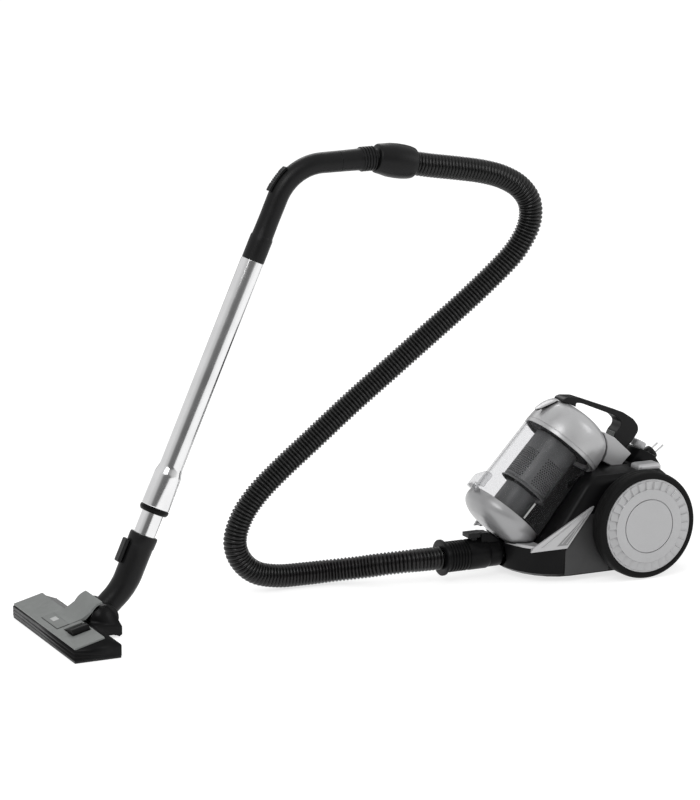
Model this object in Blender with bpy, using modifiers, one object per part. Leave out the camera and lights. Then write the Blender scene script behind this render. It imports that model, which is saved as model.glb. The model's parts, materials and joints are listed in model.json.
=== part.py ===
"""Canister vacuum cleaner: cyclone canister on two wheels and a caster, hose, telescopic wand and floor nozzle.

Lengths are in metres, +Z is up.  Drawing coordinates start on the floor under the wheel axle, in the
canister's middle plane: +X runs to the rear of the canister, +Y to its right-hand side, and the wand and the
nozzle stand in front of it, at negative X.  The root empty then moves the drawing so that the world origin
is the middle of the floor area that the whole cleaner covers.
"""
from math import atan2, cos, pi, radians, sin

import bmesh
import bpy
from mathutils import Matrix, Vector

# ------------------------------------------------------------------ driving dimensions
ROOT_AT = Vector((0.450, 0.0225, 0.0))
GAP = 0.0003

WHEEL_RADIUS = 0.0885
WHEEL_FACE = 0.1405
WHEEL_INNER_FACE = 0.104
HUB_RADIUS = 0.0773
AXLE_RADIUS = 0.0062

BODY_HALF_WIDTH = 0.0965
BODY_REAR = 0.100
FLOOR_PAN_Z = 0.0075
RIM_Z = 0.0560
HOUSING_TOP_Z = 0.168
SHELL = 0.0025

CUP_TILT = radians(43.0)
CUP_BASE = Vector((-0.181, 0.0, 0.111))
CUP_RADIUS = 0.065
CUP_WALL = 0.0025
CUP_FOOT = -0.0127
CUP_TOP = 0.1280
LID_SET_BACK = 0.005
BRACKET_TOP = 0.1967
SEAT_RADIUS = 0.0702
CUP_AXIS = Vector((sin(CUP_TILT), 0.0, cos(CUP_TILT)))
CUP_BACK = Vector((cos(CUP_TILT), 0.0, -sin(CUP_TILT)))
FLAP_PIN = (-0.0778, 0.0, -0.0170)
TONGUE_PIN = (-0.0542, 0.0, 0.1800)

CASTER_X = -0.118
CASTER_WHEEL_RADIUS = 0.0115
CASTER_TRAIL = 0.007

KNOB_AT = Vector((0.0575, 0.0, 0.1852))
DOOR_HINGE_AT = Vector((0.1032, 0.0, 0.0600))
MOTOR_AT = Vector((0.028, 0.0, 0.088))
REEL_AT = Vector((0.022, 0.0, 0.085))

INLET_Z = 0.0375
PORT_FRONT = -0.2255
CONNECTOR_FRONT = -0.2625
CUFF_FRONT = -0.3080

WAND_Y = -0.047
TUBE_TOP = Vector((-0.656, WAND_Y, 0.555))
TUBE_LEAN = radians(24.1)
TUBE_DOWN = Vector((-sin(TUBE_LEAN), 0.0, -cos(TUBE_LEAN)))
TUBE_RADIUS = 0.0184
TUBE_WALL = 0.0008
TUBE_LENGTH = 0.400
INNER_TUBE_RADIUS = 0.0172
NECK_TOP = 0.448

HANDLE_STRAIGHT = 0.1023
HANDLE_BEND_RADIUS = 0.085
HANDLE_END_RISE = radians(1.5)
HANDLE_TAIL = 0.086
HANDLE_CUFF_LENGTH = 0.0665

NOZZLE_FRONT = -1.005
NOZZLE_HALF_WIDTH = 0.1370
NOZZLE_DEPTH = 0.0740
BARREL_AT = Vector((NOZZLE_FRONT + 0.090, WAND_Y, 0.030))
BARREL_RADIUS = 0.0215
BARREL_CAVITY = 0.0222
NECK_RISE = radians(42.5)
CHEEK_IN = 0.0308
CHEEK_OUT = 0.0345
PEDAL_AT = Vector((NOZZLE_FRONT + 0.0313, WAND_Y - 0.0660, 0.0290))
ROLLER_AT = Vector((NOZZLE_FRONT + 0.1090, WAND_Y, 0.0070))

HOSE_RADIUS = 0.0190
HOSE_ROUTE = [
    (0.0675, -0.0245, 0.6893), (0.0990, -0.0245, 0.6838), (0.1480, -0.0230, 0.6765), (0.1900, -0.0215, 0.6690),
    (0.2270, -0.0190, 0.6580), (0.2590, -0.0165, 0.6400), (0.2790, -0.0140, 0.6140), (0.2815, -0.0100, 0.5810),
    (0.2670, -0.0050, 0.5470), (0.2420, 0.0005, 0.5160), (0.1850, 0.0130, 0.4620), (0.1210, 0.0265, 0.4070),
    (0.0560, 0.0410, 0.3510), (-0.0030, 0.0535, 0.3005), (-0.0630, 0.0650, 0.2470), (-0.1180, 0.0745, 0.1985),
    (-0.1550, 0.0800, 0.1620), (-0.1800, 0.0840, 0.1260), (-0.1915, 0.0860, 0.0880), (-0.1820, 0.0870, 0.0560),
    (-0.1560, 0.0875, 0.0320), (-0.1170, 0.0880, 0.0215), (-0.0700, 0.0875, 0.0196), (-0.0250, 0.0815, 0.0210),
    (0.0170, 0.0630, 0.0260), (0.0520, 0.0410, 0.0330), (0.0880, 0.0265, 0.0370), (0.1210, 0.0225, 0.0375),
    (0.1417, 0.0225, 0.0375),
]

TURN = 36


# ------------------------------------------------------------------ scene and materials
def empty_scene():
    for thing in list(bpy.data.objects):
        bpy.data.objects.remove(thing, do_unlink=True)


def new_collection(name):
    collection = bpy.data.collections.new(name)
    bpy.context.scene.collection.children.link(collection)
    return collection


empty_scene()
PARTS = new_collection("canister_vacuum_cleaner")
CUTTERS = new_collection("cutters")


def material(name, colour, roughness, metallic=0.0, alpha=1.0):
    made = bpy.data.materials.new(name)
    made.use_nodes = True
    shader = made.node_tree.nodes["Principled BSDF"]
    shader.inputs["Base Color"].default_value = (*colour, 1.0)
    shader.inputs["Roughness"].default_value = roughness
    shader.inputs["Metallic"].default_value = metallic
    shader.inputs["Alpha"].default_value = alpha
    return made


BLACK = material("black_plastic", (0.018, 0.018, 0.019), 0.38)
GREY = material("grey_plastic", (0.16, 0.165, 0.165), 0.42)
SILVER = material("silver_plastic", (0.42, 0.42, 0.43), 0.36, 0.35)
CHROME = material("chrome_tube", (0.80, 0.80, 0.80), 0.12, 1.0)
CLEAR = material("clear_plastic", (0.80, 0.82, 0.83), 0.08, 0.0, 0.30)
RUBBER = material("tyre_rubber", (0.015, 0.015, 0.015), 0.62)
STEEL = material("steel", (0.50, 0.50, 0.51), 0.30, 1.0)
FOAM = material("filter_foam", (0.05, 0.05, 0.055), 0.95)
PAPER = material("pleated_filter", (0.75, 0.75, 0.72), 0.90)
BRISTLE = material("bristle", (0.03, 0.03, 0.03), 0.85)


# ------------------------------------------------------------------ pivots and placing
PIVOTS = {}


def pivot(name, at, parent=None):
    """An empty on a joint's axis; everything that moves with the joint hangs from it."""
    empty = bpy.data.objects.new(name, None)
    PARTS.objects.link(empty)
    start = Vector((0.0, 0.0, 0.0)) if parent is None else PIVOTS[parent][1]
    empty.location = Vector(at) - start
    if parent is None:
        empty.location = ROOT_AT
    else:
        empty.parent = PIVOTS[parent][0]
    PIVOTS[name] = (empty, Vector(at))


def hang(thing, on):
    empty, at = PIVOTS[on]
    thing.parent = empty
    thing.matrix_parent_inverse = Matrix.Translation(-at)
    return thing


def cup_point(back, side, up):
    return CUP_BASE + CUP_BACK * back + Vector((0.0, side, 0.0)) + CUP_AXIS * up


def tube_point(length):
    return TUBE_TOP + TUBE_DOWN * length


def make_pivots():
    pivot("canister", (0.0, 0.0, 0.0))
    for side, name in ((-1, "left"), (1, "right")):
        pivot("wheel_" + name + "_axis", (0.0, side * 0.12, WHEEL_RADIUS), "canister")
    pivot("caster_swivel_axis", (CASTER_X, 0.0, 0.030), "canister")
    pivot("caster_wheel_axis", (CASTER_X + CASTER_TRAIL, 0.0, CASTER_WHEEL_RADIUS), "caster_swivel_axis")
    pivot("dust_cup_slide", CUP_BASE, "canister")
    pivot("dust_flap_hinge", cup_point(*FLAP_PIN), "dust_cup_slide")
    pivot("release_tongue_hinge", cup_point(*TONGUE_PIN), "dust_cup_slide")
    pivot("power_pedal_slide", (0.036, -0.066, 0.168), "canister")
    pivot("rewind_pedal_slide", (0.036, 0.066, 0.168), "canister")
    pivot("suction_knob_axis", KNOB_AT, "canister")
    pivot("exhaust_door_hinge", DOOR_HINGE_AT, "canister")
    pivot("motor_axis", MOTOR_AT, "canister")
    pivot("cord_reel_axis", REEL_AT, "canister")
    pivot("latch_slide", (-0.260, 0.0, 0.0605), "canister")
    pivot("hose_cuff_axis", (CUFF_FRONT, 0.0, INLET_Z), "canister")
    pivot("handle_cuff_axis", handle_cuff_top(), "canister")
    pivot("air_slider_axis", handle_bend_centre(), "canister")
    pivot("tube_lock_slide", tube_point(TUBE_LENGTH), "canister")
    pivot("telescope_slide", tube_point(0.11), "canister")
    pivot("neck_swivel_axis", tube_point(NECK_TOP), "telescope_slide")
    pivot("nozzle_hinge", BARREL_AT, "neck_swivel_axis")
    pivot("brush_pedal_axis", PEDAL_AT, "nozzle_hinge")
    pivot("brush_lift", (NOZZLE_FRONT + 0.038, WAND_Y, 0.003), "nozzle_hinge")
    pivot("roller_axis", ROLLER_AT, "nozzle_hinge")


# ------------------------------------------------------------------ modelling tools
def add_object(name, mesh, look, on):
    made = bpy.data.objects.new(name, mesh)
    PARTS.objects.link(made)
    mesh.materials.clear()
    mesh.materials.append(look)
    return hang(made, on)


def add_cutter(mesh, on="canister"):
    made = bpy.data.objects.new("cutter", mesh)
    CUTTERS.objects.link(made)
    made.hide_render = True
    made.display_type = "WIRE"
    return hang(made, on)


def mesh_from(build):
    """A mesh filled by build(bm)."""
    work = bmesh.new()
    build(work)
    mesh = bpy.data.meshes.new("mesh")
    work.to_mesh(mesh)
    work.free()
    return mesh


def box_mesh(low, high):
    """A box between two corners."""
    low, high = Vector(low), Vector(high)

    def build(work):
        bmesh.ops.create_cube(work, size=1.0)
        bmesh.ops.scale(work, vec=high - low, verts=work.verts)
        bmesh.ops.translate(work, vec=(low + high) / 2, verts=work.verts)
    return mesh_from(build)


def rod_mesh(radius, start, end, sides=24):
    """A round bar between two points."""
    start, end = Vector(start), Vector(end)
    turn = (end - start).to_track_quat("Z", "Y").to_matrix().to_4x4()

    def build(work):
        bmesh.ops.create_cone(work, cap_ends=True, segments=sides, radius1=radius, radius2=radius,
                              depth=(end - start).length,
                              matrix=Matrix.Translation((start + end) / 2) @ turn)
    return mesh_from(build)


def outline_mesh(outline, low, high, plane="XZ"):
    """A flat outline given a thickness: XZ outlines run along Y, XY outlines along Z."""
    curve = bpy.data.curves.new("outline", "CURVE")
    curve.dimensions = "2D"
    curve.fill_mode = "BOTH"
    curve.extrude = (high - low) / 2
    spline = curve.splines.new("POLY")
    spline.points.add(len(outline) - 1)
    for point, (u, v) in zip(spline.points, outline):
        point.co = (u, v, 0.0, 1.0)
    spline.use_cyclic_u = True
    mesh = evaluated_mesh(curve)
    if plane == "XZ":
        mesh.transform(Matrix.Rotation(pi / 2, 4, "X"))
        mesh.transform(Matrix.Translation((0.0, (low + high) / 2, 0.0)))
    else:
        mesh.transform(Matrix.Translation((0.0, 0.0, (low + high) / 2)))
    return mesh


def evaluated_mesh(curve):
    """The welded mesh of a curve."""
    holder = bpy.data.objects.new("curve", curve)
    bpy.context.scene.collection.objects.link(holder)
    graph = bpy.context.evaluated_depsgraph_get()
    mesh = bpy.data.meshes.new_from_object(holder.evaluated_get(graph))
    bpy.data.objects.remove(holder, do_unlink=True)
    work = bmesh.new()
    work.from_mesh(mesh)
    bmesh.ops.remove_doubles(work, verts=work.verts, dist=0.000005)
    bmesh.ops.recalc_face_normals(work, faces=work.faces)
    work.to_mesh(mesh)
    work.free()
    return mesh


def turned_mesh(profile, closed=True, steps=TURN):
    """A profile of (radius, height) points turned about Z, running down its outer side."""
    count = len(profile)
    links = [(i, (i + 1) % count) for i in range(count if closed else count - 1)]
    flat = bpy.data.meshes.new("profile")
    flat.from_pydata([(r, 0.0, h) for r, h in profile], links, [])
    holder = bpy.data.objects.new("turned", flat)
    bpy.context.scene.collection.objects.link(holder)
    screw = holder.modifiers.new("screw", "SCREW")
    screw.axis = "Z"
    screw.angle = 2 * pi
    screw.steps = steps
    screw.render_steps = steps
    screw.use_merge_vertices = True
    screw.merge_threshold = 0.00001
    graph = bpy.context.evaluated_depsgraph_get()
    mesh = bpy.data.meshes.new_from_object(holder.evaluated_get(graph))
    bpy.data.objects.remove(holder, do_unlink=True)
    mesh.shade_smooth()
    mesh.set_sharp_from_angle(angle=radians(35))
    return mesh


def pipe_mesh(points, radii, wall, sides=4):
    """A hollow bent pipe through the points: an open tube with a thickness."""
    curve = bpy.data.curves.new("pipe", "CURVE")
    curve.dimensions = "3D"
    curve.bevel_depth = 1.0
    curve.bevel_resolution = sides
    spline = curve.splines.new("POLY")
    spline.points.add(len(points) - 1)
    for point, place, radius in zip(spline.points, points, radii):
        point.co = (*place, 1.0)
        point.radius = radius
    mesh = evaluated_mesh(curve)
    if wall == 0.0:
        return mesh
    holder = bpy.data.objects.new("pipe", mesh)
    bpy.context.scene.collection.objects.link(holder)
    thick = holder.modifiers.new("wall", "SOLIDIFY")
    thick.thickness = wall
    thick.offset = -1.0
    graph = bpy.context.evaluated_depsgraph_get()
    made = bpy.data.meshes.new_from_object(holder.evaluated_get(graph))
    bpy.data.objects.remove(holder, do_unlink=True)
    return made


def smooth_route(route, spacing):
    """Points along a Catmull-Rom curve through the route's own points, ends included."""
    ends = [2 * route[0] - route[1]] + list(route) + [2 * route[-1] - route[-2]]
    made = []
    for i in range(1, len(ends) - 2):
        a, b, c, d = ends[i - 1], ends[i], ends[i + 1], ends[i + 2]
        count = max(1, round((c - b).length / spacing))
        for k in range(count):
            t = k / count
            made.append(0.5 * (2 * b + (c - a) * t + (2 * a - 5 * b + 4 * c - d) * t ** 2
                               + (3 * b - a - 3 * c + d) * t ** 3))
    made.append(route[-1].copy())
    return made


def loft_mesh(rings, caps=(True, True)):
    """Skins equal-length rings of points, bottom ring first, each running anticlockwise from above."""
    def build(work):
        rows = [[work.verts.new(point) for point in ring] for ring in rings]
        count = len(rows[0])
        for lower, upper in zip(rows, rows[1:]):
            for i in range(count):
                j = (i + 1) % count
                work.faces.new((lower[i], lower[j], upper[j], upper[i]))
        if caps[0]:
            work.faces.new(tuple(reversed(rows[0])))
        if caps[1]:
            work.faces.new(tuple(rows[-1]))
    return mesh_from(build)


def boolean(thing, mesh, operation="DIFFERENCE", on=None):
    """Cuts, joins or trims a thing with a hidden tool."""
    tool = add_cutter(mesh)
    tool.parent = None
    tool.matrix_parent_inverse = Matrix.Identity(4)
    hang(tool, on or thing.parent.name)
    step = thing.modifiers.new(operation.lower(), "BOOLEAN")
    step.operation = operation
    step.solver = "EXACT"
    step.object = tool
    return tool


def bevel(thing, width, segments=2, angle=40.0):
    step = thing.modifiers.new("bevel", "BEVEL")
    step.width = width
    step.segments = segments
    step.limit_method = "ANGLE"
    step.angle_limit = radians(angle)
    return thing


def in_cup(thing):
    """Stands a piece drawn about the cup's axis on the tilted cup."""
    thing.location = CUP_BASE
    thing.rotation_euler = (0.0, CUP_TILT, 0.0)
    return thing


def along(thing, at, direction):
    """Stands a piece drawn about +Z at a point, with its +Z in a direction of the XZ plane."""
    thing.location = at
    thing.rotation_euler = (0.0, atan2(direction[0], direction[2]), 0.0)
    return thing


def on_side(thing, at, side):
    """Lays a piece drawn about +Z at a point, with its +Z towards one side of the canister."""
    thing.location = at
    thing.rotation_euler = (-side * pi / 2, 0.0, 0.0)
    return thing


# ------------------------------------------------------------------ canister housing
def plan_outline(front, half, rear, z, corner=0.030, nose=0.072):
    """The canister's outline at one height: an elliptical nose, straight sides and a rounded rear."""
    points = []
    for i in range(13):
        turn = pi / 2 + pi * i / 12
        points.append(Vector((front + nose + nose * cos(turn), half * sin(turn), z)))
    for i in range(5):
        turn = -pi / 2 + pi / 2 * i / 4
        points.append(Vector((rear - corner + corner * cos(turn), -half + corner + corner * sin(turn), z)))
    for i in range(5):
        turn = pi / 2 * i / 4
        points.append(Vector((rear - corner + corner * cos(turn), half - corner + corner * sin(turn), z)))
    return points


def box_outline(front, half, rear, z, rear_corner):
    """The motor housing's outline at one height: a rectangle with four rounded corners."""
    points = []
    corner = 0.012
    corners = ((rear - rear_corner, half - rear_corner, rear_corner), (front + corner, half - corner, corner),
               (front + corner, -half + corner, corner), (rear - rear_corner, -half + rear_corner, rear_corner))
    for quarter, (x, y, radius) in enumerate(corners):
        for i in range(5):
            turn = pi / 2 * (quarter + i / 4)
            points.append(Vector((x + radius * cos(turn), y + radius * sin(turn), z)))
    return points


def clearance_mesh():
    """The space the dust cup, its lid and its flap need, with the way they lift out."""
    return turned_mesh([(0.0, 0.40), (0.0755, 0.40), (0.0755, 0.1240), (0.0728, 0.1240), (0.0728, -0.0145),
                        (0.0700, -0.0345), (0.0550, -0.0485), (0.0300, -0.0550), (0.0, -0.0570)], closed=False)


def clear_for_cup(thing):
    in_cup(boolean(thing, clearance_mesh()))


def base_shell():
    rings = [plan_outline(-0.1900, 0.0915, 0.094, FLOOR_PAN_Z),
             plan_outline(-0.2000, 0.0952, 0.099, FLOOR_PAN_Z + 0.006),
             plan_outline(-0.2050, BODY_HALF_WIDTH, BODY_REAR, RIM_Z + 0.002)]
    shell = add_object("base_shell", loft_mesh(rings, (True, False)), BLACK, "canister")
    wall = shell.modifiers.new("wall", "SOLIDIFY")
    wall.thickness = SHELL
    wall.offset = -1.0
    boolean(shell, box_mesh((-0.3, -0.2, RIM_Z), (0.2, 0.2, 0.1)))
    boolean(shell, rod_mesh(0.0252, (-0.26, 0.0, INLET_Z), (-0.188, 0.0, INLET_Z), 32))
    boolean(shell, rod_mesh(0.0225, (CASTER_X, 0.0, 0.0), (CASTER_X, 0.0, 0.02), 32))
    clear_for_cup(shell)


def housing_rings():
    """Outlines of the motor housing from its rim to its top; it leans back under the dust cup and slopes at the rear."""
    rings = []
    levels = ((RIM_Z - 0.0020, BODY_REAR, 0.0, 0.030), (0.1100, BODY_REAR, 0.0, 0.030),
              (0.1350, 0.0845, 0.0, 0.024), (0.1530, 0.0690, 0.0, 0.016), (0.1620, 0.0585, 0.0025, 0.012),
              (HOUSING_TOP_Z, 0.0520, 0.0090, 0.010))
    for z, rear, edge, rear_corner in levels:
        front = -0.165 + (z - RIM_Z) * 0.72 + edge
        rings.append(box_outline(front, BODY_HALF_WIDTH - edge, rear, z, rear_corner))
    return rings


def upper_housing():
    shell = add_object("upper_housing", loft_mesh(housing_rings(), (False, True)), BLACK, "canister")
    wall = shell.modifiers.new("wall", "SOLIDIFY")
    wall.thickness = SHELL
    wall.offset = -1.0
    boolean(shell, box_mesh((-0.3, -0.2, 0.0), (0.2, 0.2, RIM_Z + GAP)))
    clear_for_cup(shell)
    in_cup(boolean(shell, box_mesh((0.05, -0.0320, 0.1550), (0.1095, 0.0320, 0.30))))
    for side in (-1, 1):
        boolean(shell, box_mesh((0.0130, side * 0.066 - 0.0165, 0.15), (0.0585, side * 0.066 + 0.0165, 0.18)))
    boolean(shell, box_mesh((0.09, -0.045, 0.0640), (0.11, 0.045, 0.1075)))


def cup_seat():
    profile = [(0.0725, 0.1235), (0.0725, -0.0145), (0.0697, -0.0340), (0.0640, -0.0395), (0.0625, -0.0380),
               (0.0676, -0.0330), (SEAT_RADIUS, -0.0140), (SEAT_RADIUS, 0.1235)]
    seat = in_cup(add_object("cup_seat", turned_mesh(profile), BLACK, "canister"))
    keep = [(-0.215, 0.030), (0.020, 0.030), (0.020, 0.1640), (-0.0890, 0.1640), (-0.1590, 0.0668),
            (-0.1640, 0.0540), (-0.215, 0.0540)]
    boolean(seat, outline_mesh(keep, -0.086, 0.086), "INTERSECT")
    in_cup(boolean(seat, rod_mesh(0.0130, (0.060, 0.0, 0.100), (0.080, 0.0, 0.100))))


def side_trim(side, name):
    """Half of the silver deck around the cup's foot, with the wing that runs up the housing's side."""
    outline = [(place.x, place.y) for place in plan_outline(-0.2040, BODY_HALF_WIDTH - 0.001, -0.1500, 0.0, 0.002,
                                                            0.0500)]
    deck = add_object("side_trim_" + name, outline_mesh(outline, RIM_Z + 0.0005, 0.0610, "XY"), SILVER, "canister")
    half = box_mesh((-0.3, 0.004, 0.0), (-0.1660, 0.2, 0.1)) if side > 0 else \
        box_mesh((-0.3, -0.2, 0.0), (-0.1660, -0.004, 0.1))
    boolean(deck, half, "INTERSECT")
    wing = [(-0.1290, 0.0566), (-0.0830, 0.1150), (-0.0800, 0.1215), (-0.0860, 0.1195),
            (-0.1900, 0.0640), (-0.1950, 0.0566)]
    inner, outer = BODY_HALF_WIDTH + GAP, BODY_HALF_WIDTH + 0.0038
    band = (inner, outer) if side > 0 else (-outer, -inner)
    boolean(deck, outline_mesh(wing, *band), "UNION")
    bridge = sorted((side * 0.088, side * (outer - 0.0002)))
    boolean(deck, box_mesh((-0.1890, bridge[0], 0.0568), (-0.1665, bridge[1], 0.0608)), "UNION")
    clear_for_cup(deck)
    boolean(deck, rod_mesh(0.0252, (-0.26, 0.0, INLET_Z), (-0.160, 0.0, INLET_Z), 32))


def rear_deck():
    """The black ridge behind the lid that carries the suction knob and parks the mains plug."""
    outline = [(0.0300, HOUSING_TOP_Z + GAP), (0.0440, 0.1905), (0.0480, 0.1905), (0.0730, 0.1765),
               (0.0830, 0.1620), (0.0760, 0.1530), (0.0695, 0.1530), (0.0590, 0.1625), (0.0525, 0.1685)]
    deck = add_object("rear_deck", outline_mesh(outline, -0.033, 0.033), BLACK, "canister")
    bevel(deck, 0.0015)


def inlet_port():
    profile = [(0.0130, 0.0), (0.0240, -0.0115), (0.0240, -0.0315), (0.0205, -0.0315), (0.0205, -0.0130),
               (0.0100, -0.0020), (0.0100, 0.0)]
    port = add_object("inlet_port", turned_mesh(profile), BLACK, "canister")
    along(port, (PORT_FRONT + 0.0315, 0.0, INLET_Z), (1.0, 0.0, 0.0))


def inlet_duct():
    """The bent air duct from the port, round the caster and up to the window in the cup's seat."""
    mouth = cup_point(0.0730, 0.0, 0.100)
    route = [Vector(p) for p in ((-0.1937, 0.0, INLET_Z), (-0.1895, 0.0, INLET_Z), (-0.1862, 0.0005, 0.0366),
                                 (-0.1780, 0.0045, 0.0318), (-0.1690, 0.0140, 0.0268), (-0.1590, 0.0300, 0.0244),
                                 (-0.1460, 0.0465, 0.0240), (-0.1250, 0.0520, 0.0240), (-0.0920, 0.0460, 0.0250),
                                 (-0.0620, 0.0240, 0.0360), (-0.0500, 0.0060, 0.0620), (-0.0415, 0.0, 0.0900))]
    route += [mouth + CUP_BACK * 0.016, mouth + CUP_BACK * 0.0005]
    points = smooth_route(route, 0.012)
    duct = pipe_mesh(points, [0.0104] * len(points), 0.0014, 2)
    add_object("inlet_duct", duct, BLACK, "canister")


# ------------------------------------------------------------------ motor, reel, filter, controls
def motor():
    can = [(0.0450, 0.0720), (0.0450, 0.0), (0.0120, 0.0), (0.0120, 0.0025), (0.0425, 0.0025), (0.0425, 0.0720)]
    housing = add_object("motor_housing", turned_mesh(can, steps=28), STEEL, "canister")
    on_side(housing, MOTOR_AT + Vector((0.0, -0.0120, 0.0)), -1)
    fan = [(0.0, 0.0620), (0.0060, 0.0620), (0.0060, 0.0200), (0.0380, 0.0160), (0.0380, 0.0060), (0.0060, 0.0040),
           (0.0060, 0.0), (0.0, 0.0)]
    blades = add_object("motor_fan", turned_mesh(fan, closed=False, steps=28), STEEL, "motor_axis")
    on_side(blades, MOTOR_AT + Vector((0.0, -0.0170, 0.0)), -1)


def cord_reel():
    spool = [(0.0550, 0.0560), (0.0550, 0.0540), (0.0250, 0.0540), (0.0250, 0.0020), (0.0550, 0.0020),
             (0.0550, 0.0), (0.0060, 0.0), (0.0060, 0.0560)]
    reel = add_object("cord_reel", turned_mesh(spool, steps=32), GREY, "cord_reel_axis")
    on_side(reel, REEL_AT + Vector((0.0, 0.0160, 0.0)), 1)
    winding = [(0.0480, 0.0530), (0.0480, 0.0030), (0.0256, 0.0030), (0.0256, 0.0530)]
    cord = add_object("cord_winding", turned_mesh(winding, steps=32), RUBBER, "cord_reel_axis")
    on_side(cord, REEL_AT + Vector((0.0, 0.0160, 0.0)), 1)


def mains_plug():
    direction = Vector((0.0145, 0.0, 0.0100)).normalized()
    at = Vector((0.0780, 0.0, 0.16925)) + direction * GAP
    plug = add_object("mains_plug", rod_mesh(0.0125, at, at + direction * 0.0120, 20), BLACK, "canister")
    for side in (-1, 1):
        root = at + Vector((0.0, side * 0.0090, 0.0))
        boolean(plug, rod_mesh(0.0023, root + direction * 0.008, root + direction * 0.0307, 10), "UNION")


def pedals():
    for side, name in ((-1, "power_pedal"), (1, "rewind_pedal")):
        middle = side * 0.066
        pedal = add_object(name, box_mesh((0.0140, middle - 0.0155, 0.1610), (0.0575, middle + 0.0155, 0.1755)),
                           SILVER, name + "_slide")
        bevel(pedal, 0.0035, 2)


def suction_knob():
    lean = Vector((0.49, 0.0, 0.872))
    knob = turned_mesh([(0.0, 0.0120), (0.0100, 0.0120), (0.0122, 0.0100), (0.0125, 0.0), (0.0, 0.0)],
                       closed=False, steps=28)
    made = add_object("suction_knob", knob, SILVER, "suction_knob_axis")
    along(made, KNOB_AT + lean * 0.0010, lean)


def exhaust():
    grille = add_object("exhaust_grille", box_mesh((0.1016, -0.0490, 0.0590), (0.1050, 0.0490, 0.1120)), BLACK,
                        "exhaust_door_hinge")
    bevel(grille, 0.0012, 1)
    add_object("hepa_filter", box_mesh((0.0860, -0.0430, 0.0660), (0.0972, 0.0430, 0.1055)), PAPER, "canister")


# ------------------------------------------------------------------ wheels and caster
def wheels():
    tyre = [(0.0845, 0.1372), (0.0872, 0.1345), (WHEEL_RADIUS, 0.1300), (WHEEL_RADIUS, 0.1120), (0.0865, 0.1060),
            (0.0800, WHEEL_INNER_FACE), (HUB_RADIUS + GAP, WHEEL_INNER_FACE), (HUB_RADIUS + GAP, 0.1372)]
    rim = [(HUB_RADIUS, 0.1335), (HUB_RADIUS, 0.1045), (0.0700, 0.1045), (0.0700, 0.1180), (0.0180, 0.1180),
           (0.0180, 0.1045), (AXLE_RADIUS + GAP, 0.1045), (AXLE_RADIUS + GAP, 0.1335)]
    cover = [(0.0, 0.1400), (0.0600, WHEEL_FACE), (0.0745, 0.1388), (HUB_RADIUS, 0.1350),
             (HUB_RADIUS, 0.1338), (0.0, 0.1338)]
    axle = [(0.0, 0.1330), (AXLE_RADIUS, 0.1330), (AXLE_RADIUS, 0.1000), (0.0160, 0.1000), (0.0160, 0.0968),
            (0.0, 0.0968)]
    for side, name in ((-1, "left"), (1, "right")):
        centre = (0.0, 0.0, WHEEL_RADIUS)
        axis = "wheel_" + name + "_axis"
        on_side(add_object("tyre_" + name, turned_mesh(tyre), RUBBER, axis), centre, side)
        on_side(add_object("wheel_rim_" + name, turned_mesh(rim), BLACK, axis), centre, side)
        on_side(add_object("hub_cover_" + name, turned_mesh(cover, False), SILVER, axis), centre, side)
        on_side(add_object("axle_" + name, turned_mesh(axle, False, 24), STEEL, "canister"), centre, side)


def caster():
    cup = [(0.0056, 0.0375), (0.0250, 0.0375), (0.0265, 0.0355), (0.0265, 0.0170), (0.0295, 0.0170),
           (0.0295, 0.0148), (0.0235, 0.0148), (0.0235, 0.0345), (0.0056, 0.0345)]
    holder = add_object("caster_cup", turned_mesh(cup, steps=24), BLACK, "canister")
    holder.location = (CASTER_X, 0.0, 0.0)
    fork = add_object("caster_fork", rod_mesh(0.0200, (CASTER_X, 0.0, 0.0240), (CASTER_X, 0.0, 0.0270), 24), BLACK,
                      "caster_swivel_axis")
    boolean(fork, rod_mesh(0.0050, (CASTER_X, 0.0, 0.0260), (CASTER_X, 0.0, 0.0385), 16), "UNION")
    axis_x = CASTER_X + CASTER_TRAIL
    for side in (-1, 1):
        ear = sorted((side * 0.0068, side * 0.0100))
        boolean(fork, box_mesh((axis_x - 0.0055, ear[0], 0.0080), (axis_x + 0.0055, ear[1], 0.0250)), "UNION")
    boolean(fork, rod_mesh(0.0020, (axis_x, -0.0090, CASTER_WHEEL_RADIUS), (axis_x, 0.0090, CASTER_WHEEL_RADIUS), 12),
            "UNION")
    wheel = turned_mesh([(CASTER_WHEEL_RADIUS, 0.0060), (CASTER_WHEEL_RADIUS, -0.0060), (0.0023, -0.0060),
                         (0.0023, 0.0060)], steps=28)
    on_side(add_object("caster_wheel", wheel, RUBBER, "caster_wheel_axis"), (axis_x, 0.0, CASTER_WHEEL_RADIUS), 1)


# ------------------------------------------------------------------ dust cup
def cup_wall():
    inner = CUP_RADIUS - CUP_WALL
    profile = [(CUP_RADIUS, CUP_TOP), (CUP_RADIUS, CUP_FOOT), (inner, CUP_FOOT), (inner, CUP_TOP)]
    wall = in_cup(add_object("cup_wall", turned_mesh(profile, steps=40), CLEAR, "dust_cup_slide"))
    in_cup(boolean(wall, rod_mesh(0.0130, (0.050, 0.0, 0.100), (0.075, 0.0, 0.100))))


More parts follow.
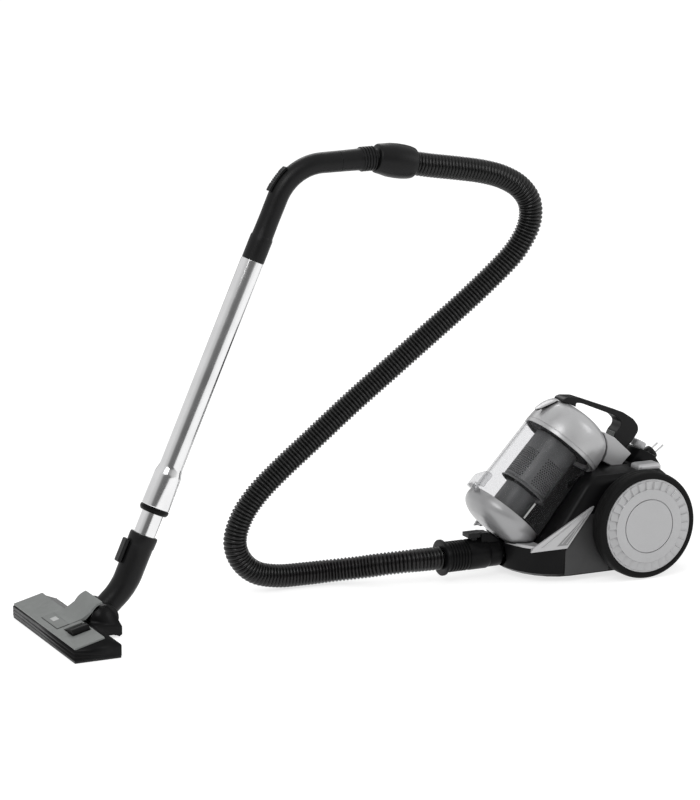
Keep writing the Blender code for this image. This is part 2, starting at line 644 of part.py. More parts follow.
def cup_lid():
    foot = CUP_TOP + GAP
    profile = [(0.0, 0.1925), (0.0350, 0.1900), (0.0470, 0.1855), (0.0570, 0.1785), (0.0640, 0.1680),
               (0.0685, 0.1500), (0.0700, foot), (0.0670, foot), (0.0655, 0.1500), (0.0610, 0.1665),
               (0.0545, 0.1760), (0.0450, 0.1825), (0.0340, 0.1870), (0.0, 0.1895)]
    mesh = turned_mesh(profile, False, 40)
    mesh.transform(Matrix.Translation((LID_SET_BACK, 0.0, 0.0)))
    lid = in_cup(add_object("cup_lid", mesh, SILVER, "dust_cup_slide"))
    bracket = [(0.0400, 0.1890), (0.0400, 0.1915), (0.0600, BRACKET_TOP), (0.1045, BRACKET_TOP), (0.1030, 0.1750),
               (0.1060, 0.1630), (0.0712, 0.1545), (0.0675, 0.1672), (0.0607, 0.1770), (0.0508, 0.1838)]
    in_cup(boolean(lid, outline_mesh(bracket, -0.0300, 0.0300), "UNION"))


def cup_inside():
    disc = [(0.0, 0.1500), (0.0580, 0.1500), (0.0580, 0.1320), (0.0, 0.1320)]
    in_cup(add_object("pre_motor_filter", turned_mesh(disc, False, 28), FOAM, "dust_cup_slide"))
    grille = [(0.0390, 0.1280), (0.0390, 0.0400), (0.0430, 0.0350), (0.0410, 0.0350), (0.0370, 0.0395),
              (0.0370, 0.1280)]
    in_cup(add_object("cyclone_grille", turned_mesh(grille, steps=32), GREY, "dust_cup_slide"))
    cone = [(0.0340, 0.1280), (0.0190, 0.0500), (0.0190, 0.0320), (0.0290, 0.0320), (0.0290, -0.0080),
            (0.0268, -0.0080), (0.0268, 0.0298), (0.0168, 0.0298), (0.0168, 0.0500), (0.0318, 0.1280)]
    in_cup(add_object("cyclone_cone", turned_mesh(cone, steps=32), GREY, "dust_cup_slide"))


def bottom_cover():
    rim = CUP_FOOT - GAP
    profile = [(0.0, -0.0485), (0.0300, -0.0470), (0.0515, -0.0415), (0.0630, -0.0325), (0.0655, -0.0210),
               (0.0640, rim), (0.0664, rim), (0.0680, -0.0210), (0.0655, -0.0335), (0.0532, -0.0440),
               (0.0310, -0.0496), (0.0, -0.0512)]
    cover = in_cup(add_object("bottom_cover", turned_mesh(profile, False, 36), SILVER, "dust_flap_hinge"))
    in_cup(boolean(cover, box_mesh((-0.0813, -0.0060, -0.0205), (-0.0655, 0.0060, -0.0136)), "UNION"))
    in_cup(boolean(cover, rod_mesh(0.0023, (FLAP_PIN[0], -0.02, FLAP_PIN[2]), (FLAP_PIN[0], 0.02, FLAP_PIN[2]), 16)))


def hinge_bracket():
    outline = [(-0.0656, -0.0085), (-0.0656, 0.0150), (-0.0700, 0.0175), (-0.0820, 0.0010), (-0.0820, -0.0215),
               (-0.0730, -0.0215), (-0.0730, -0.0085)]
    bracket = in_cup(add_object("hinge_bracket", outline_mesh(outline, -0.0105, 0.0105), CLEAR, "dust_cup_slide"))
    in_cup(boolean(bracket, box_mesh((-0.10, -0.0063, -0.03), (-0.06, 0.0063, -0.0095))))
    in_cup(boolean(bracket, rod_mesh(0.0023, (FLAP_PIN[0], -0.02, FLAP_PIN[2]), (FLAP_PIN[0], 0.02, FLAP_PIN[2]),
                                     16)))
    pin = rod_mesh(0.0020, (FLAP_PIN[0], -0.0115, FLAP_PIN[2]), (FLAP_PIN[0], 0.0115, FLAP_PIN[2]), 16)
    in_cup(add_object("hinge_pin", pin, STEEL, "dust_cup_slide"))


def release_tongue():
    outline = [(-0.0532, 0.1800), (-0.0598, 0.1690), (-0.0646, 0.1545), (-0.0695, 0.1450), (-0.0725, 0.1455),
               (-0.0694, 0.1580), (-0.0640, 0.1705), (-0.0560, 0.1815)]
    tongue = add_object("release_tongue", outline_mesh(outline, -0.0100, 0.0100), SILVER, "release_tongue_hinge")
    in_cup(tongue)


def carry_handle():
    foot = BRACKET_TOP + GAP
    outline = [(-0.0495, 0.1822), (-0.0515, 0.1870), (-0.0480, 0.1935), (-0.0310, 0.2065), (0.0522, 0.2405),
               (0.0760, 0.2445), (0.0910, 0.2420), (0.0980, 0.2355), (0.1005, 0.2177), (0.0990, foot),
               (0.0700, foot), (0.0655, 0.2080), (0.0660, 0.2200), (0.0610, 0.2270), (0.0475, 0.2280),
               (-0.0199, 0.2030), (-0.0290, 0.1970), (-0.0240, 0.1915), (-0.0300, 0.1909), (-0.0420, 0.1864)]
    handle = in_cup(add_object("carry_handle", outline_mesh(outline, -0.0150, 0.0150), BLACK, "dust_cup_slide"))
    bevel(handle, 0.0025, 1)


# ------------------------------------------------------------------ hose and its ends
def hose_ends():
    connector = [(0.0240, 0.0367), (0.0255, 0.0330), (0.0255, 0.0030), (0.0245, 0.0), (0.0205, 0.0), (0.0205, 0.0367)]
    made = add_object("hose_connector", turned_mesh(connector), BLACK, "canister")
    along(made, (CONNECTOR_FRONT, 0.0, INLET_Z), (1.0, 0.0, 0.0))
    boolean(made, box_mesh((-0.2550, -0.0080, 0.048), (-0.2430, 0.0080, 0.073)))
    latch = add_object("connector_latch", box_mesh((-0.2620, -0.0110, 0.0670), (-0.2400, 0.0110, 0.0740)), BLACK,
                       "latch_slide")
    boolean(latch, box_mesh((-0.2540, -0.0070, 0.0585), (-0.2440, 0.0070, 0.0680)), "UNION")
    cuff = [(0.0240, 0.0450), (0.0240, 0.0420)]
    for i in range(4):
        top = 0.0420 - 0.0088 * i
        cuff += [(0.0255, top), (0.0255, top - 0.0050), (0.0235, top - 0.0050), (0.0235, top - 0.0088)]
    cuff += [(0.0235, 0.0040), (0.0295, 0.0040), (0.0295, 0.0), (0.0165, 0.0), (0.0165, 0.0450)]
    made = add_object("hose_cuff", turned_mesh(cuff, steps=32), BLACK, "hose_cuff_axis")
    along(made, (CUFF_FRONT, 0.0, INLET_Z), (1.0, 0.0, 0.0))


def hose():
    points = smooth_route([Vector(place) for place in HOSE_ROUTE], 0.030)
    points = [place - ROOT_AT for place in points]
    curve = bpy.data.curves.new("hose", "CURVE")
    curve.dimensions = "3D"
    curve.bevel_depth = HOSE_RADIUS
    curve.bevel_resolution = 3
    curve.use_fill_caps = True
    spline = curve.splines.new("POLY")
    spline.points.add(len(points) - 1)
    for point, place in zip(spline.points, points):
        point.co = (*place, 1.0)
    made = bpy.data.objects.new("hose", curve)
    PARTS.objects.link(made)
    curve.materials.append(BLACK)
    hang(made, "canister")


def handle_bend_start():
    return TUBE_TOP - TUBE_DOWN * HANDLE_STRAIGHT


def handle_bend_centre():
    side = Vector((cos(TUBE_LEAN), 0.0, -sin(TUBE_LEAN)))
    return handle_bend_start() + side * HANDLE_BEND_RADIUS


def handle_line():
    """Centre line of the handle pipe: up the tube, round the bend, then nearly level to the hose."""
    centre = handle_bend_centre()
    first = pi - TUBE_LEAN
    last = pi / 2 + HANDLE_END_RISE
    points = [TUBE_TOP - TUBE_DOWN * length for length in (0.0005, 0.0380, 0.0400, 0.070)]
    for i in range(13):
        turn = first + (last - first) * i / 12
        points.append(centre + Vector((cos(turn), 0.0, sin(turn))) * HANDLE_BEND_RADIUS)
    level = Vector((cos(HANDLE_END_RISE), 0.0, sin(HANDLE_END_RISE)))
    corner = points[-1]
    points += [corner + level * length for length in (0.0400, 0.0640, 0.0645, HANDLE_TAIL)]
    return points


def hose_start():
    """The hose's first point and its direction there."""
    first, second = (Vector(place) - ROOT_AT for place in HOSE_ROUTE[:2])
    return first, (second - first).normalized()


def handle_cuff_top():
    first, direction = hose_start()
    return first - direction * (HANDLE_CUFF_LENGTH + GAP)


def handle():
    points = handle_line()
    radii = [0.0178, 0.0178, 0.0165, 0.0160]
    radii += [0.0162] * 13
    radii += [0.0165, 0.0170, 0.0192, 0.0192]
    add_object("handle_pipe", pipe_mesh(points, radii, 0.0022, 3), BLACK, "canister")
    cuff = [(0.0135, 0.0120), (0.0135, 0.0), (0.0225, 0.0), (0.0240, -0.0100), (0.0270, -0.0300), (0.0270, -0.0530),
            (0.0240, -0.0640), (0.0205, -HANDLE_CUFF_LENGTH), (0.0165, -HANDLE_CUFF_LENGTH), (0.0165, -0.0040),
            (0.0105, -0.0040), (0.0105, 0.0120)]
    made = add_object("handle_cuff", turned_mesh(cuff, steps=32), BLACK, "handle_cuff_axis")
    along(made, handle_cuff_top(), -hose_start()[1])


def air_slider():
    """The air-bleed slider on the outside of the handle's bend."""
    centre = handle_bend_centre()
    inner, outer = HANDLE_BEND_RADIUS + 0.0166, HANDLE_BEND_RADIUS + 0.0200
    turns = [radians(128.0 + 25.0 * i / 8) for i in range(9)]
    outline = [(centre.x + outer * cos(turn), centre.z + outer * sin(turn)) for turn in turns]
    outline += [(centre.x + inner * cos(turn), centre.z + inner * sin(turn)) for turn in reversed(turns)]
    add_object("air_slider", outline_mesh(outline, WAND_Y - 0.0065, WAND_Y + 0.0065), BLACK, "air_slider_axis")


# ------------------------------------------------------------------ telescopic wand
def stand_on_tube(thing, length):
    """Drawn about +Z, a tube piece's height is its distance up the wand from a point on it."""
    return along(thing, tube_point(length), -TUBE_DOWN)


def wand():
    bore = TUBE_RADIUS - TUBE_WALL
    outer = [(TUBE_RADIUS, TUBE_LENGTH), (TUBE_RADIUS, 0.0620), (0.0216, 0.0500), (0.0226, 0.0),
             (bore, 0.0), (bore, TUBE_LENGTH)]
    stand_on_tube(add_object("outer_tube", turned_mesh(outer, steps=32), CHROME, "canister"), TUBE_LENGTH)
    lock = [(0.0228, 0.0120), (0.0228, 0.0), (0.0178, 0.0), (0.0178, 0.0120)]
    stand_on_tube(add_object("tube_lock", turned_mesh(lock, steps=28), BLACK, "tube_lock_slide"), TUBE_LENGTH + 0.0123)
    top, bottom = 0.110, NECK_TOP + 0.022
    inner = [(INNER_TUBE_RADIUS, bottom - top), (INNER_TUBE_RADIUS, 0.0), (INNER_TUBE_RADIUS - TUBE_WALL, 0.0),
             (INNER_TUBE_RADIUS - TUBE_WALL, bottom - top)]
    stand_on_tube(add_object("inner_tube", turned_mesh(inner, steps=32), CHROME, "telescope_slide"), bottom)


def neck_line():
    """Centre line of the nozzle's neck, from the sleeve on the wand down to the barrel."""
    rise = Vector((cos(NECK_RISE), 0.0, sin(NECK_RISE)))
    top = tube_point(NECK_TOP)
    reach = top - BARREL_AT
    # The two straight stretches meet where the rising line crosses the tube's axis.
    cross = rise.x * TUBE_DOWN.z - rise.z * TUBE_DOWN.x
    low = (reach.x * TUBE_DOWN.z - reach.z * TUBE_DOWN.x) / cross
    corner = BARREL_AT + rise * low
    ease = 0.022
    start, end = corner + rise * -ease, corner - TUBE_DOWN * ease
    bend = []
    for i in range(7):
        t = i / 6
        bend.append(start * (1 - t) ** 2 + corner * (2 * t * (1 - t)) + end * t ** 2)
    return [BARREL_AT + rise * 0.010] + bend + [top]


def neck():
    points = neck_line()
    radii = [0.0188, 0.0195] + [0.0203] * 5 + [0.0210, 0.0222]
    made = add_object("nozzle_neck", pipe_mesh(points, radii, 0.0028, 4), BLACK, "neck_swivel_axis")
    side = Vector((0.0, CHEEK_IN - GAP, 0.0))
    boolean(made, rod_mesh(BARREL_RADIUS, BARREL_AT - side, BARREL_AT + side, 32), "UNION")
    rise = Vector((cos(NECK_RISE), 0.0, sin(NECK_RISE)))
    boolean(made, rod_mesh(0.0150, BARREL_AT, BARREL_AT + rise * 0.030, 20))
    boolean(made, box_mesh(BARREL_AT + Vector((-0.024, -0.024, -0.013)), BARREL_AT + Vector((0.0, 0.024, 0.006))))
    inner = tube_point(NECK_TOP + 0.0225)
    boolean(made, rod_mesh(INNER_TUBE_RADIUS + GAP, inner, tube_point(NECK_TOP - 0.01), 32))
    clip = add_object("parking_clip", box_mesh((-0.0285, -0.008, -0.034), (-0.0224, 0.008, 0.004)), BLACK,
                      "neck_swivel_axis")
    stand_on_tube(clip, NECK_TOP + 0.018)
    bevel(clip, 0.0015, 1)


# ------------------------------------------------------------------ floor nozzle
def nozzle_xz(outline):
    return [(NOZZLE_FRONT + depth, height) for depth, height in outline]


def pedal_slot():
    """The opening for the brush pedal through the plate and the top of the nozzle."""
    return box_mesh(PEDAL_AT - Vector((0.0148, 0.0205, 0.0140)), PEDAL_AT + Vector((0.0147, 0.0205, 0.0210)))


def nozzle_body():
    span = (WAND_Y - NOZZLE_HALF_WIDTH, WAND_Y + NOZZLE_HALF_WIDTH)
    outside = [(0.0, 0.0034), (NOZZLE_DEPTH, 0.0034), (NOZZLE_DEPTH, 0.0195), (0.0720, 0.0220), (0.0480, 0.0315),
               (0.0030, 0.0200), (0.0, 0.0180)]
    inside = [(0.0025, 0.0), (NOZZLE_DEPTH - 0.0025, 0.0), (NOZZLE_DEPTH - 0.0025, 0.0185), (0.0470, 0.0285),
              (0.0025, 0.0172)]
    body = add_object("nozzle_body", outline_mesh(nozzle_xz(outside), *span), BLACK, "nozzle_hinge")
    cheek = [(0.0640, 0.0100), (0.0640, 0.0330), (0.0700, 0.0440), (0.0800, 0.0500), (0.0920, 0.0500),
             (0.1020, 0.0400), (0.1145, 0.0165), (0.1145, 0.0040), (0.1100, 0.0010), (0.1030, 0.0044),
             (0.0745, 0.0044)]
    boolean(body, outline_mesh(nozzle_xz(cheek), WAND_Y - CHEEK_OUT, WAND_Y + CHEEK_OUT), "UNION")
    boolean(body, outline_mesh(nozzle_xz(inside), span[0] + 0.0025, span[1] - 0.0025))
    width = Vector((0.0, CHEEK_IN, 0.0))
    boolean(body, rod_mesh(BARREL_CAVITY, BARREL_AT - width, BARREL_AT + width, 32))
    well = [(0.0560, 0.0320), (0.0900, 0.0080), (0.0900, -0.01), (0.1300, -0.01), (0.1300, 0.08), (0.0560, 0.08)]
    boolean(body, outline_mesh(nozzle_xz(well), WAND_Y - CHEEK_IN, WAND_Y + CHEEK_IN))
    pin = Vector((0.0, CHEEK_OUT - 0.0010, 0.0))
    boolean(body, rod_mesh(0.0018, ROLLER_AT - pin, ROLLER_AT + pin, 12), "UNION")
    boolean(body, pedal_slot())


def nozzle_plate():
    thin = [(0.0030, 0.0204), (0.0480, 0.0319), (0.0480, 0.0345), (0.0012, 0.0226), (0.0012, 0.0204)]
    half = NOZZLE_HALF_WIDTH - 0.0015
    plate = add_object("nozzle_plate", outline_mesh(nozzle_xz(thin), WAND_Y - half, WAND_Y + half), GREY,
                       "nozzle_hinge")
    depth = BARREL_AT.x - NOZZLE_FRONT
    height = BARREL_AT.z
    inner, outer = 0.0270, 0.0300
    turns = [radians(104.0 + 46.0 * i / 6) for i in range(7)]
    hood = [(depth + outer * cos(turn), height + outer * sin(turn)) for turn in turns]
    hood += [(0.0500, 0.0362), (0.0300, 0.0306), (0.0300, 0.0288), (0.0478, 0.0324), (0.0560, 0.0335)]
    hood += [(depth + inner * cos(turn), height + inner * sin(turn)) for turn in reversed(turns)]
    boolean(plate, outline_mesh(nozzle_xz(hood), WAND_Y - CHEEK_OUT, WAND_Y + CHEEK_OUT), "UNION")
    boolean(plate, pedal_slot())


def nozzle_sole():
    half = NOZZLE_HALF_WIDTH - 0.0005
    sole = add_object("nozzle_sole", box_mesh((NOZZLE_FRONT + 0.0005, WAND_Y - half, 0.0),
                                              (NOZZLE_FRONT + NOZZLE_DEPTH - 0.0005, WAND_Y + half, 0.0031)),
                      GREY, "nozzle_hinge")
    for near, far, reach in ((0.0095, 0.0155, 0.128), (0.0300, 0.0460, 0.116), (0.0600, 0.0660, 0.128)):
        boolean(sole, box_mesh((NOZZLE_FRONT + near, WAND_Y - reach, -0.01),
                               (NOZZLE_FRONT + far, WAND_Y + reach, 0.01)))


def nozzle_moving_pieces():
    rocker = [(-0.0190, -0.0020), (-0.0190, 0.0005), (-0.0080, 0.0015), (-0.0050, 0.0065), (0.0050, 0.0065),
              (0.0080, 0.0015), (0.0190, 0.0005), (0.0190, -0.0020), (0.0, -0.0045)]
    made = add_object("brush_pedal", outline_mesh(rocker, -0.0138, 0.0138), BLACK, "brush_pedal_axis")
    made.location = PEDAL_AT
    made.rotation_euler = (radians(-13.0), radians(7.0), pi / 2)
    for name, near in (("brush_strip_front", 0.0100), ("brush_strip_rear", 0.0605)):
        strip = box_mesh((NOZZLE_FRONT + near, WAND_Y - 0.1270, 0.0012),
                         (NOZZLE_FRONT + near + 0.0050, WAND_Y + 0.1270, 0.0130))
        add_object(name, strip, BRISTLE, "brush_lift")
    profile = [(0.0070, 0.0060), (0.0070, -0.0060), (0.0021, -0.0060), (0.0021, 0.0060)]
    for side, name in ((-1, "left"), (1, "right")):
        roller = add_object("nozzle_roller_" + name, turned_mesh(profile, steps=24), RUBBER, "roller_axis")
        on_side(roller, ROLLER_AT + Vector((0.0, side * 0.018, 0.0)), 1)


def build_cleaner():
    make_pivots()
    base_shell()
    upper_housing()
    cup_seat()
    side_trim(-1, "left")
    side_trim(1, "right")
    rear_deck()
    inlet_port()
    inlet_duct()
    motor()
    cord_reel()
    mains_plug()
    pedals()
    suction_knob()
    exhaust()
    wheels()
    caster()
    cup_wall()
    cup_lid()
    cup_inside()
    bottom_cover()
    hinge_bracket()
    release_tongue()
    carry_handle()
    hose_ends()
    hose()
    handle()
    air_slider()
    wand()
    neck()
    nozzle_body()
    nozzle_plate()
    nozzle_sole()
    nozzle_moving_pieces()


build_cleaner()
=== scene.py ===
"""Looks of a canister vacuum cleaner: tilted dust cup, corrugated hose, chrome wand and floor nozzle.

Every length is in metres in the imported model's frame: +Z up, the nozzle at negative X and the canister at
positive X.  Pieces are built in that frame, so all objects keep their origin at the frame's own origin.
"""
import json
from math import atan2, cos, pi, radians, sin

import bmesh
import bpy
from mathutils import Matrix, Vector

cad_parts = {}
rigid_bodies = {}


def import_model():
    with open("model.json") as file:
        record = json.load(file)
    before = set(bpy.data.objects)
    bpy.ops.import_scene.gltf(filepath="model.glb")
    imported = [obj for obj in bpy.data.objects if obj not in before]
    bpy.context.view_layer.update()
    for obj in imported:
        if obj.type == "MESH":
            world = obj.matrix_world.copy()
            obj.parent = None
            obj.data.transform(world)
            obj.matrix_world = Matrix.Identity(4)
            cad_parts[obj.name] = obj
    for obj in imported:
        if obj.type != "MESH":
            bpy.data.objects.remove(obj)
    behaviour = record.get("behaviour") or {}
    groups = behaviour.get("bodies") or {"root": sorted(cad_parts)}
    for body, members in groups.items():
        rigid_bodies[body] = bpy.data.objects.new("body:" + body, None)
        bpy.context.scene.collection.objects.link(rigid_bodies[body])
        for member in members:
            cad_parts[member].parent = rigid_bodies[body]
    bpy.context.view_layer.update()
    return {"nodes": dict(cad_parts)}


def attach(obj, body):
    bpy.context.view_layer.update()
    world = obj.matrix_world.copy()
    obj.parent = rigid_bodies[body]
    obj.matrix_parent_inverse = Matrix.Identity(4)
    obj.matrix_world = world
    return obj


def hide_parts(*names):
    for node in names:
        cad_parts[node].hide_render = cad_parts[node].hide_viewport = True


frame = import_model()
NODES = frame["nodes"]

# ------------------------------------------------------------------ places shared with the CAD model
ROOT = Vector((0.450, 0.0225, 0.0))


def spot(x, y, z):
    """A place measured from the canister's own origin, in the model's frame."""
    return Vector((x, y, z)) + ROOT


CUP_TILT = radians(43.0)
CUP_BASE = spot(-0.181, 0.0, 0.111)
CUP_RADIUS = 0.065
CUP_FOOT = -0.0127
CUP_TOP = 0.1280
LID_SET_BACK = 0.005
BRACKET_TOP = 0.1967
WHEEL_RADIUS = 0.0885
HUB_RADIUS = 0.0773
INLET_Z = 0.0375
PORT_FRONT = -0.2255
CUFF_FRONT = -0.3080
WAND_Y = -0.047
TUBE_TOP = spot(-0.656, WAND_Y, 0.555)
TUBE_LEAN = radians(24.1)
TUBE_DOWN = Vector((-sin(TUBE_LEAN), 0.0, -cos(TUBE_LEAN)))
TUBE_RADIUS = 0.0184
TUBE_LENGTH = 0.400
INNER_TUBE_RADIUS = 0.0172
NECK_TOP = 0.448
HANDLE_STRAIGHT = 0.1023
HANDLE_BEND_RADIUS = 0.085
HANDLE_END_RISE = radians(1.5)
HANDLE_TAIL = 0.086
HANDLE_CUFF_LENGTH = 0.0665
NOZZLE_FRONT = -1.005 + ROOT.x
NOZZLE_Y = WAND_Y + ROOT.y
NOZZLE_HALF_WIDTH = 0.1370
BARREL_AT = Vector((NOZZLE_FRONT + 0.090, NOZZLE_Y, 0.030))
NECK_RISE = radians(42.5)
CHEEK_IN = 0.0308
PEDAL_AT = Vector((NOZZLE_FRONT + 0.0313, NOZZLE_Y - 0.0660, 0.0290))
KNOB_AT = spot(0.0575, 0.0, 0.1852)
HOSE_RADIUS = 0.0190
HOSE_ROUTE = [
    (0.0675, -0.0245, 0.6893), (0.0990, -0.0245, 0.6838), (0.1480, -0.0230, 0.6765), (0.1900, -0.0215, 0.6690),
    (0.2270, -0.0190, 0.6580), (0.2590, -0.0165, 0.6400), (0.2790, -0.0140, 0.6140), (0.2815, -0.0100, 0.5810),
    (0.2670, -0.0050, 0.5470), (0.2420, 0.0005, 0.5160), (0.1850, 0.0130, 0.4620), (0.1210, 0.0265, 0.4070),
    (0.0560, 0.0410, 0.3510), (-0.0030, 0.0535, 0.3005), (-0.0630, 0.0650, 0.2470), (-0.1180, 0.0745, 0.1985),
    (-0.1550, 0.0800, 0.1620), (-0.1800, 0.0840, 0.1260), (-0.1915, 0.0860, 0.0880), (-0.1820, 0.0870, 0.0560),
    (-0.1560, 0.0875, 0.0320), (-0.1170, 0.0880, 0.0215), (-0.0700, 0.0875, 0.0196), (-0.0250, 0.0815, 0.0210),
    (0.0170, 0.0630, 0.0260), (0.0520, 0.0410, 0.0330), (0.0880, 0.0265, 0.0370), (0.1210, 0.0225, 0.0375),
    (0.1417, 0.0225, 0.0375),
]

# ------------------------------------------------------------------ camera
CAMERA_AT = Vector((-2.01015, -4.15845, 1.28652))
CAMERA_AZIMUTH = radians(-25.4605)
CAMERA_ELEVATION = radians(11.8717)


def add_object(name, data):
    made = bpy.data.objects.new(name, data)
    bpy.context.scene.collection.objects.link(made)
    return made


def make_camera():
    azimuth, rise = CAMERA_AZIMUTH, CAMERA_ELEVATION
    right = Vector((cos(azimuth), sin(azimuth), 0.0))
    back = Vector((sin(azimuth) * cos(rise), -cos(azimuth) * cos(rise), sin(rise)))
    place = Matrix((right, back.cross(right), back)).transposed().to_4x4()
    place.translation = CAMERA_AT
    lens = bpy.data.cameras.new("camera")
    lens.lens = 135.0
    lens.sensor_width = 36.0
    lens.clip_end = 100.0
    camera = add_object("camera", lens)
    camera.matrix_world = place
    bpy.context.scene.camera = camera


# ------------------------------------------------------------------ materials
class Graph:
    """A material's node tree with short ways to add and link nodes."""

    def __init__(self, name):
        self.material = bpy.data.materials.new(name)
        self.material.use_nodes = True
        self.tree = self.material.node_tree
        self.shader = self.tree.nodes["Principled BSDF"]
        self.place = self.add("ShaderNodeTexCoord").outputs["Object"]

    def add(self, kind, **values):
        """A new node; a value whose name starts with a capital is an input, any other is a setting."""
        node = self.tree.nodes.new(kind)
        for key, value in values.items():
            if key[0].isupper():
                node.inputs[key.replace("_", " ")].default_value = value
            else:
                setattr(node, key, value)
        return node

    def link(self, source, target):
        self.tree.links.new(source, target)

    def noise(self, scale, detail=3.0, stretch=None):
        node = self.add("ShaderNodeTexNoise", Scale=scale, Detail=detail)
        place = self.place
        if stretch is not None:
            mapping = self.add("ShaderNodeMapping", Scale=stretch)
            self.link(place, mapping.inputs["Vector"])
            place = mapping.outputs["Vector"]
        self.link(place, node.inputs["Vector"])
        return node.outputs["Fac"]

    def spread(self, value, low, high, start=0.3, end=0.7):
        node = self.add("ShaderNodeMapRange", From_Min=start, From_Max=end, To_Min=low, To_Max=high)
        self.link(value, node.inputs["Value"])
        return node.outputs["Result"]

    def tint(self, value, dark, light, start=0.3, end=0.7):
        node = self.add("ShaderNodeValToRGB")
        node.color_ramp.elements[0].position = start
        node.color_ramp.elements[1].position = end
        node.color_ramp.elements[0].color = (*dark, 1.0)
        node.color_ramp.elements[1].color = (*light, 1.0)
        self.link(value, node.inputs["Fac"])
        return node.outputs["Color"]

    def blend(self, factor, first, second):
        node = self.add("ShaderNodeMix", data_type="RGBA")
        self.link(factor, node.inputs["Factor"])
        self.link(first, node.inputs["A"])
        self.link(second, node.inputs["B"])
        return node.outputs["Result"]

    def bump(self, height, distance, strength=1.0, normal=None):
        node = self.add("ShaderNodeBump", Strength=strength, Distance=distance)
        self.link(height, node.inputs["Height"])
        if normal is not None:
            self.link(normal, node.inputs["Normal"])
        return node.outputs["Normal"]

    def cells(self, scale):
        node = self.add("ShaderNodeTexVoronoi", Scale=scale)
        self.link(self.place, node.inputs["Vector"])
        return node.outputs

    def set(self, **values):
        for key, value in values.items():
            self.shader.inputs[key.replace("_", " ")].default_value = value

    def colour(self, source):
        self.link(source, self.shader.inputs["Base Color"])

    def rough(self, source):
        self.link(source, self.shader.inputs["Roughness"])

    def normal(self, source):
        self.link(source, self.shader.inputs["Normal"])

    def edges(self):
        """Where the surface turns a convex corner."""
        return self.add("ShaderNodeNewGeometry").outputs["Pointiness"]

    def soft_edge(self, radius):
        return self.add("ShaderNodeBevel", samples=4, Radius=radius).outputs["Normal"]


def scaled(colour, factor):
    return tuple(channel * factor for channel in colour)


def plastic(name, colour, roughness, grain=0.00004, grain_scale=1400.0, wear=1.6, **values):
    """Moulded plastic: a fine grain, slow changes of tone and sheen, and edges polished a little paler."""
    graph = Graph(name)
    cloud = graph.noise(22.0, 4.0)
    colour_link = graph.tint(cloud, scaled(colour, 0.88), scaled(colour, 1.12))
    worn = graph.tint(cloud, scaled(colour, wear), scaled(colour, wear * 1.1))
    edge = graph.spread(graph.edges(), 0.0, 0.8, 0.515, 0.60)
    graph.colour(graph.blend(edge, colour_link, worn))
    sheen = graph.noise(90.0, 5.0)
    graph.rough(graph.spread(sheen, roughness * 0.86, roughness * 1.14))
    fine = graph.noise(grain_scale, 2.0)
    graph.normal(graph.bump(fine, grain, 0.6, graph.soft_edge(0.0006)))
    graph.set(**values)
    return graph.material


def silver_paint(name, colour, roughness):
    """Silver paint: fine flakes that change its tone and tilt, under a thin clear coat."""
    graph = Graph(name)
    flake_tone = graph.add("ShaderNodeSeparateColor")
    graph.link(graph.cells(2600.0)["Color"], flake_tone.inputs["Color"])
    tone = graph.tint(flake_tone.outputs["Red"], scaled(colour, 0.90), scaled(colour, 1.10), 0.0, 1.0)
    cloud = graph.tint(graph.noise(12.0, 3.0), scaled(colour, 0.96), scaled(colour, 1.05))
    mixed = graph.add("ShaderNodeMix", data_type="RGBA", Factor=0.5)
    graph.link(tone, mixed.inputs["A"])
    graph.link(cloud, mixed.inputs["B"])
    graph.colour(mixed.outputs["Result"])
    graph.rough(graph.spread(graph.noise(70.0, 4.0), roughness * 0.9, roughness * 1.12))
    graph.normal(graph.bump(flake_tone.outputs["Green"], 0.00002, 0.35, graph.soft_edge(0.0006)))
    graph.set(Metallic=0.35, Coat_Weight=0.25, Coat_Roughness=0.16)
    return graph.material


def chrome(name):
    """Polished chrome with faint draw lines along it and a few dull smudges."""
    graph = Graph(name)
    smudge = graph.noise(28.0, 5.0)
    graph.colour(graph.tint(smudge, (0.70, 0.70, 0.705), (0.77, 0.77, 0.775)))
    graph.rough(graph.spread(smudge, 0.07, 0.16))
    lines = graph.noise(500.0, 2.0, (1.0, 1.0, 0.05))
    graph.normal(graph.bump(lines, 0.00001, 0.25))
    graph.set(Metallic=1.0)
    return graph.material


def turned_steel(name):
    """Machined steel: fine turning marks and a dull, uneven sheen."""
    graph = Graph(name)
    marks = graph.noise(900.0, 2.0, (0.2, 1.0, 0.2))
    graph.colour(graph.tint(marks, (0.36, 0.36, 0.37), (0.56, 0.56, 0.57)))
    graph.rough(graph.spread(graph.noise(60.0), 0.24, 0.42))
    graph.normal(graph.bump(marks, 0.00002, 0.4))
    graph.set(Metallic=1.0)
    return graph.material


def rubber(name, colour):
    """Matt rubber: a pebbled skin with a little pale dust."""
    graph = Graph(name)
    dust = graph.noise(45.0, 6.0)
    graph.colour(graph.tint(dust, scaled(colour, 0.85), scaled(colour, 1.5), 0.35, 0.8))
    graph.rough(graph.spread(dust, 0.52, 0.72))
    graph.normal(graph.bump(graph.noise(1100.0, 3.0), 0.00008, 0.7, graph.soft_edge(0.0006)))
    graph.set(Specular_IOR_Level=0.12)
    return graph.material


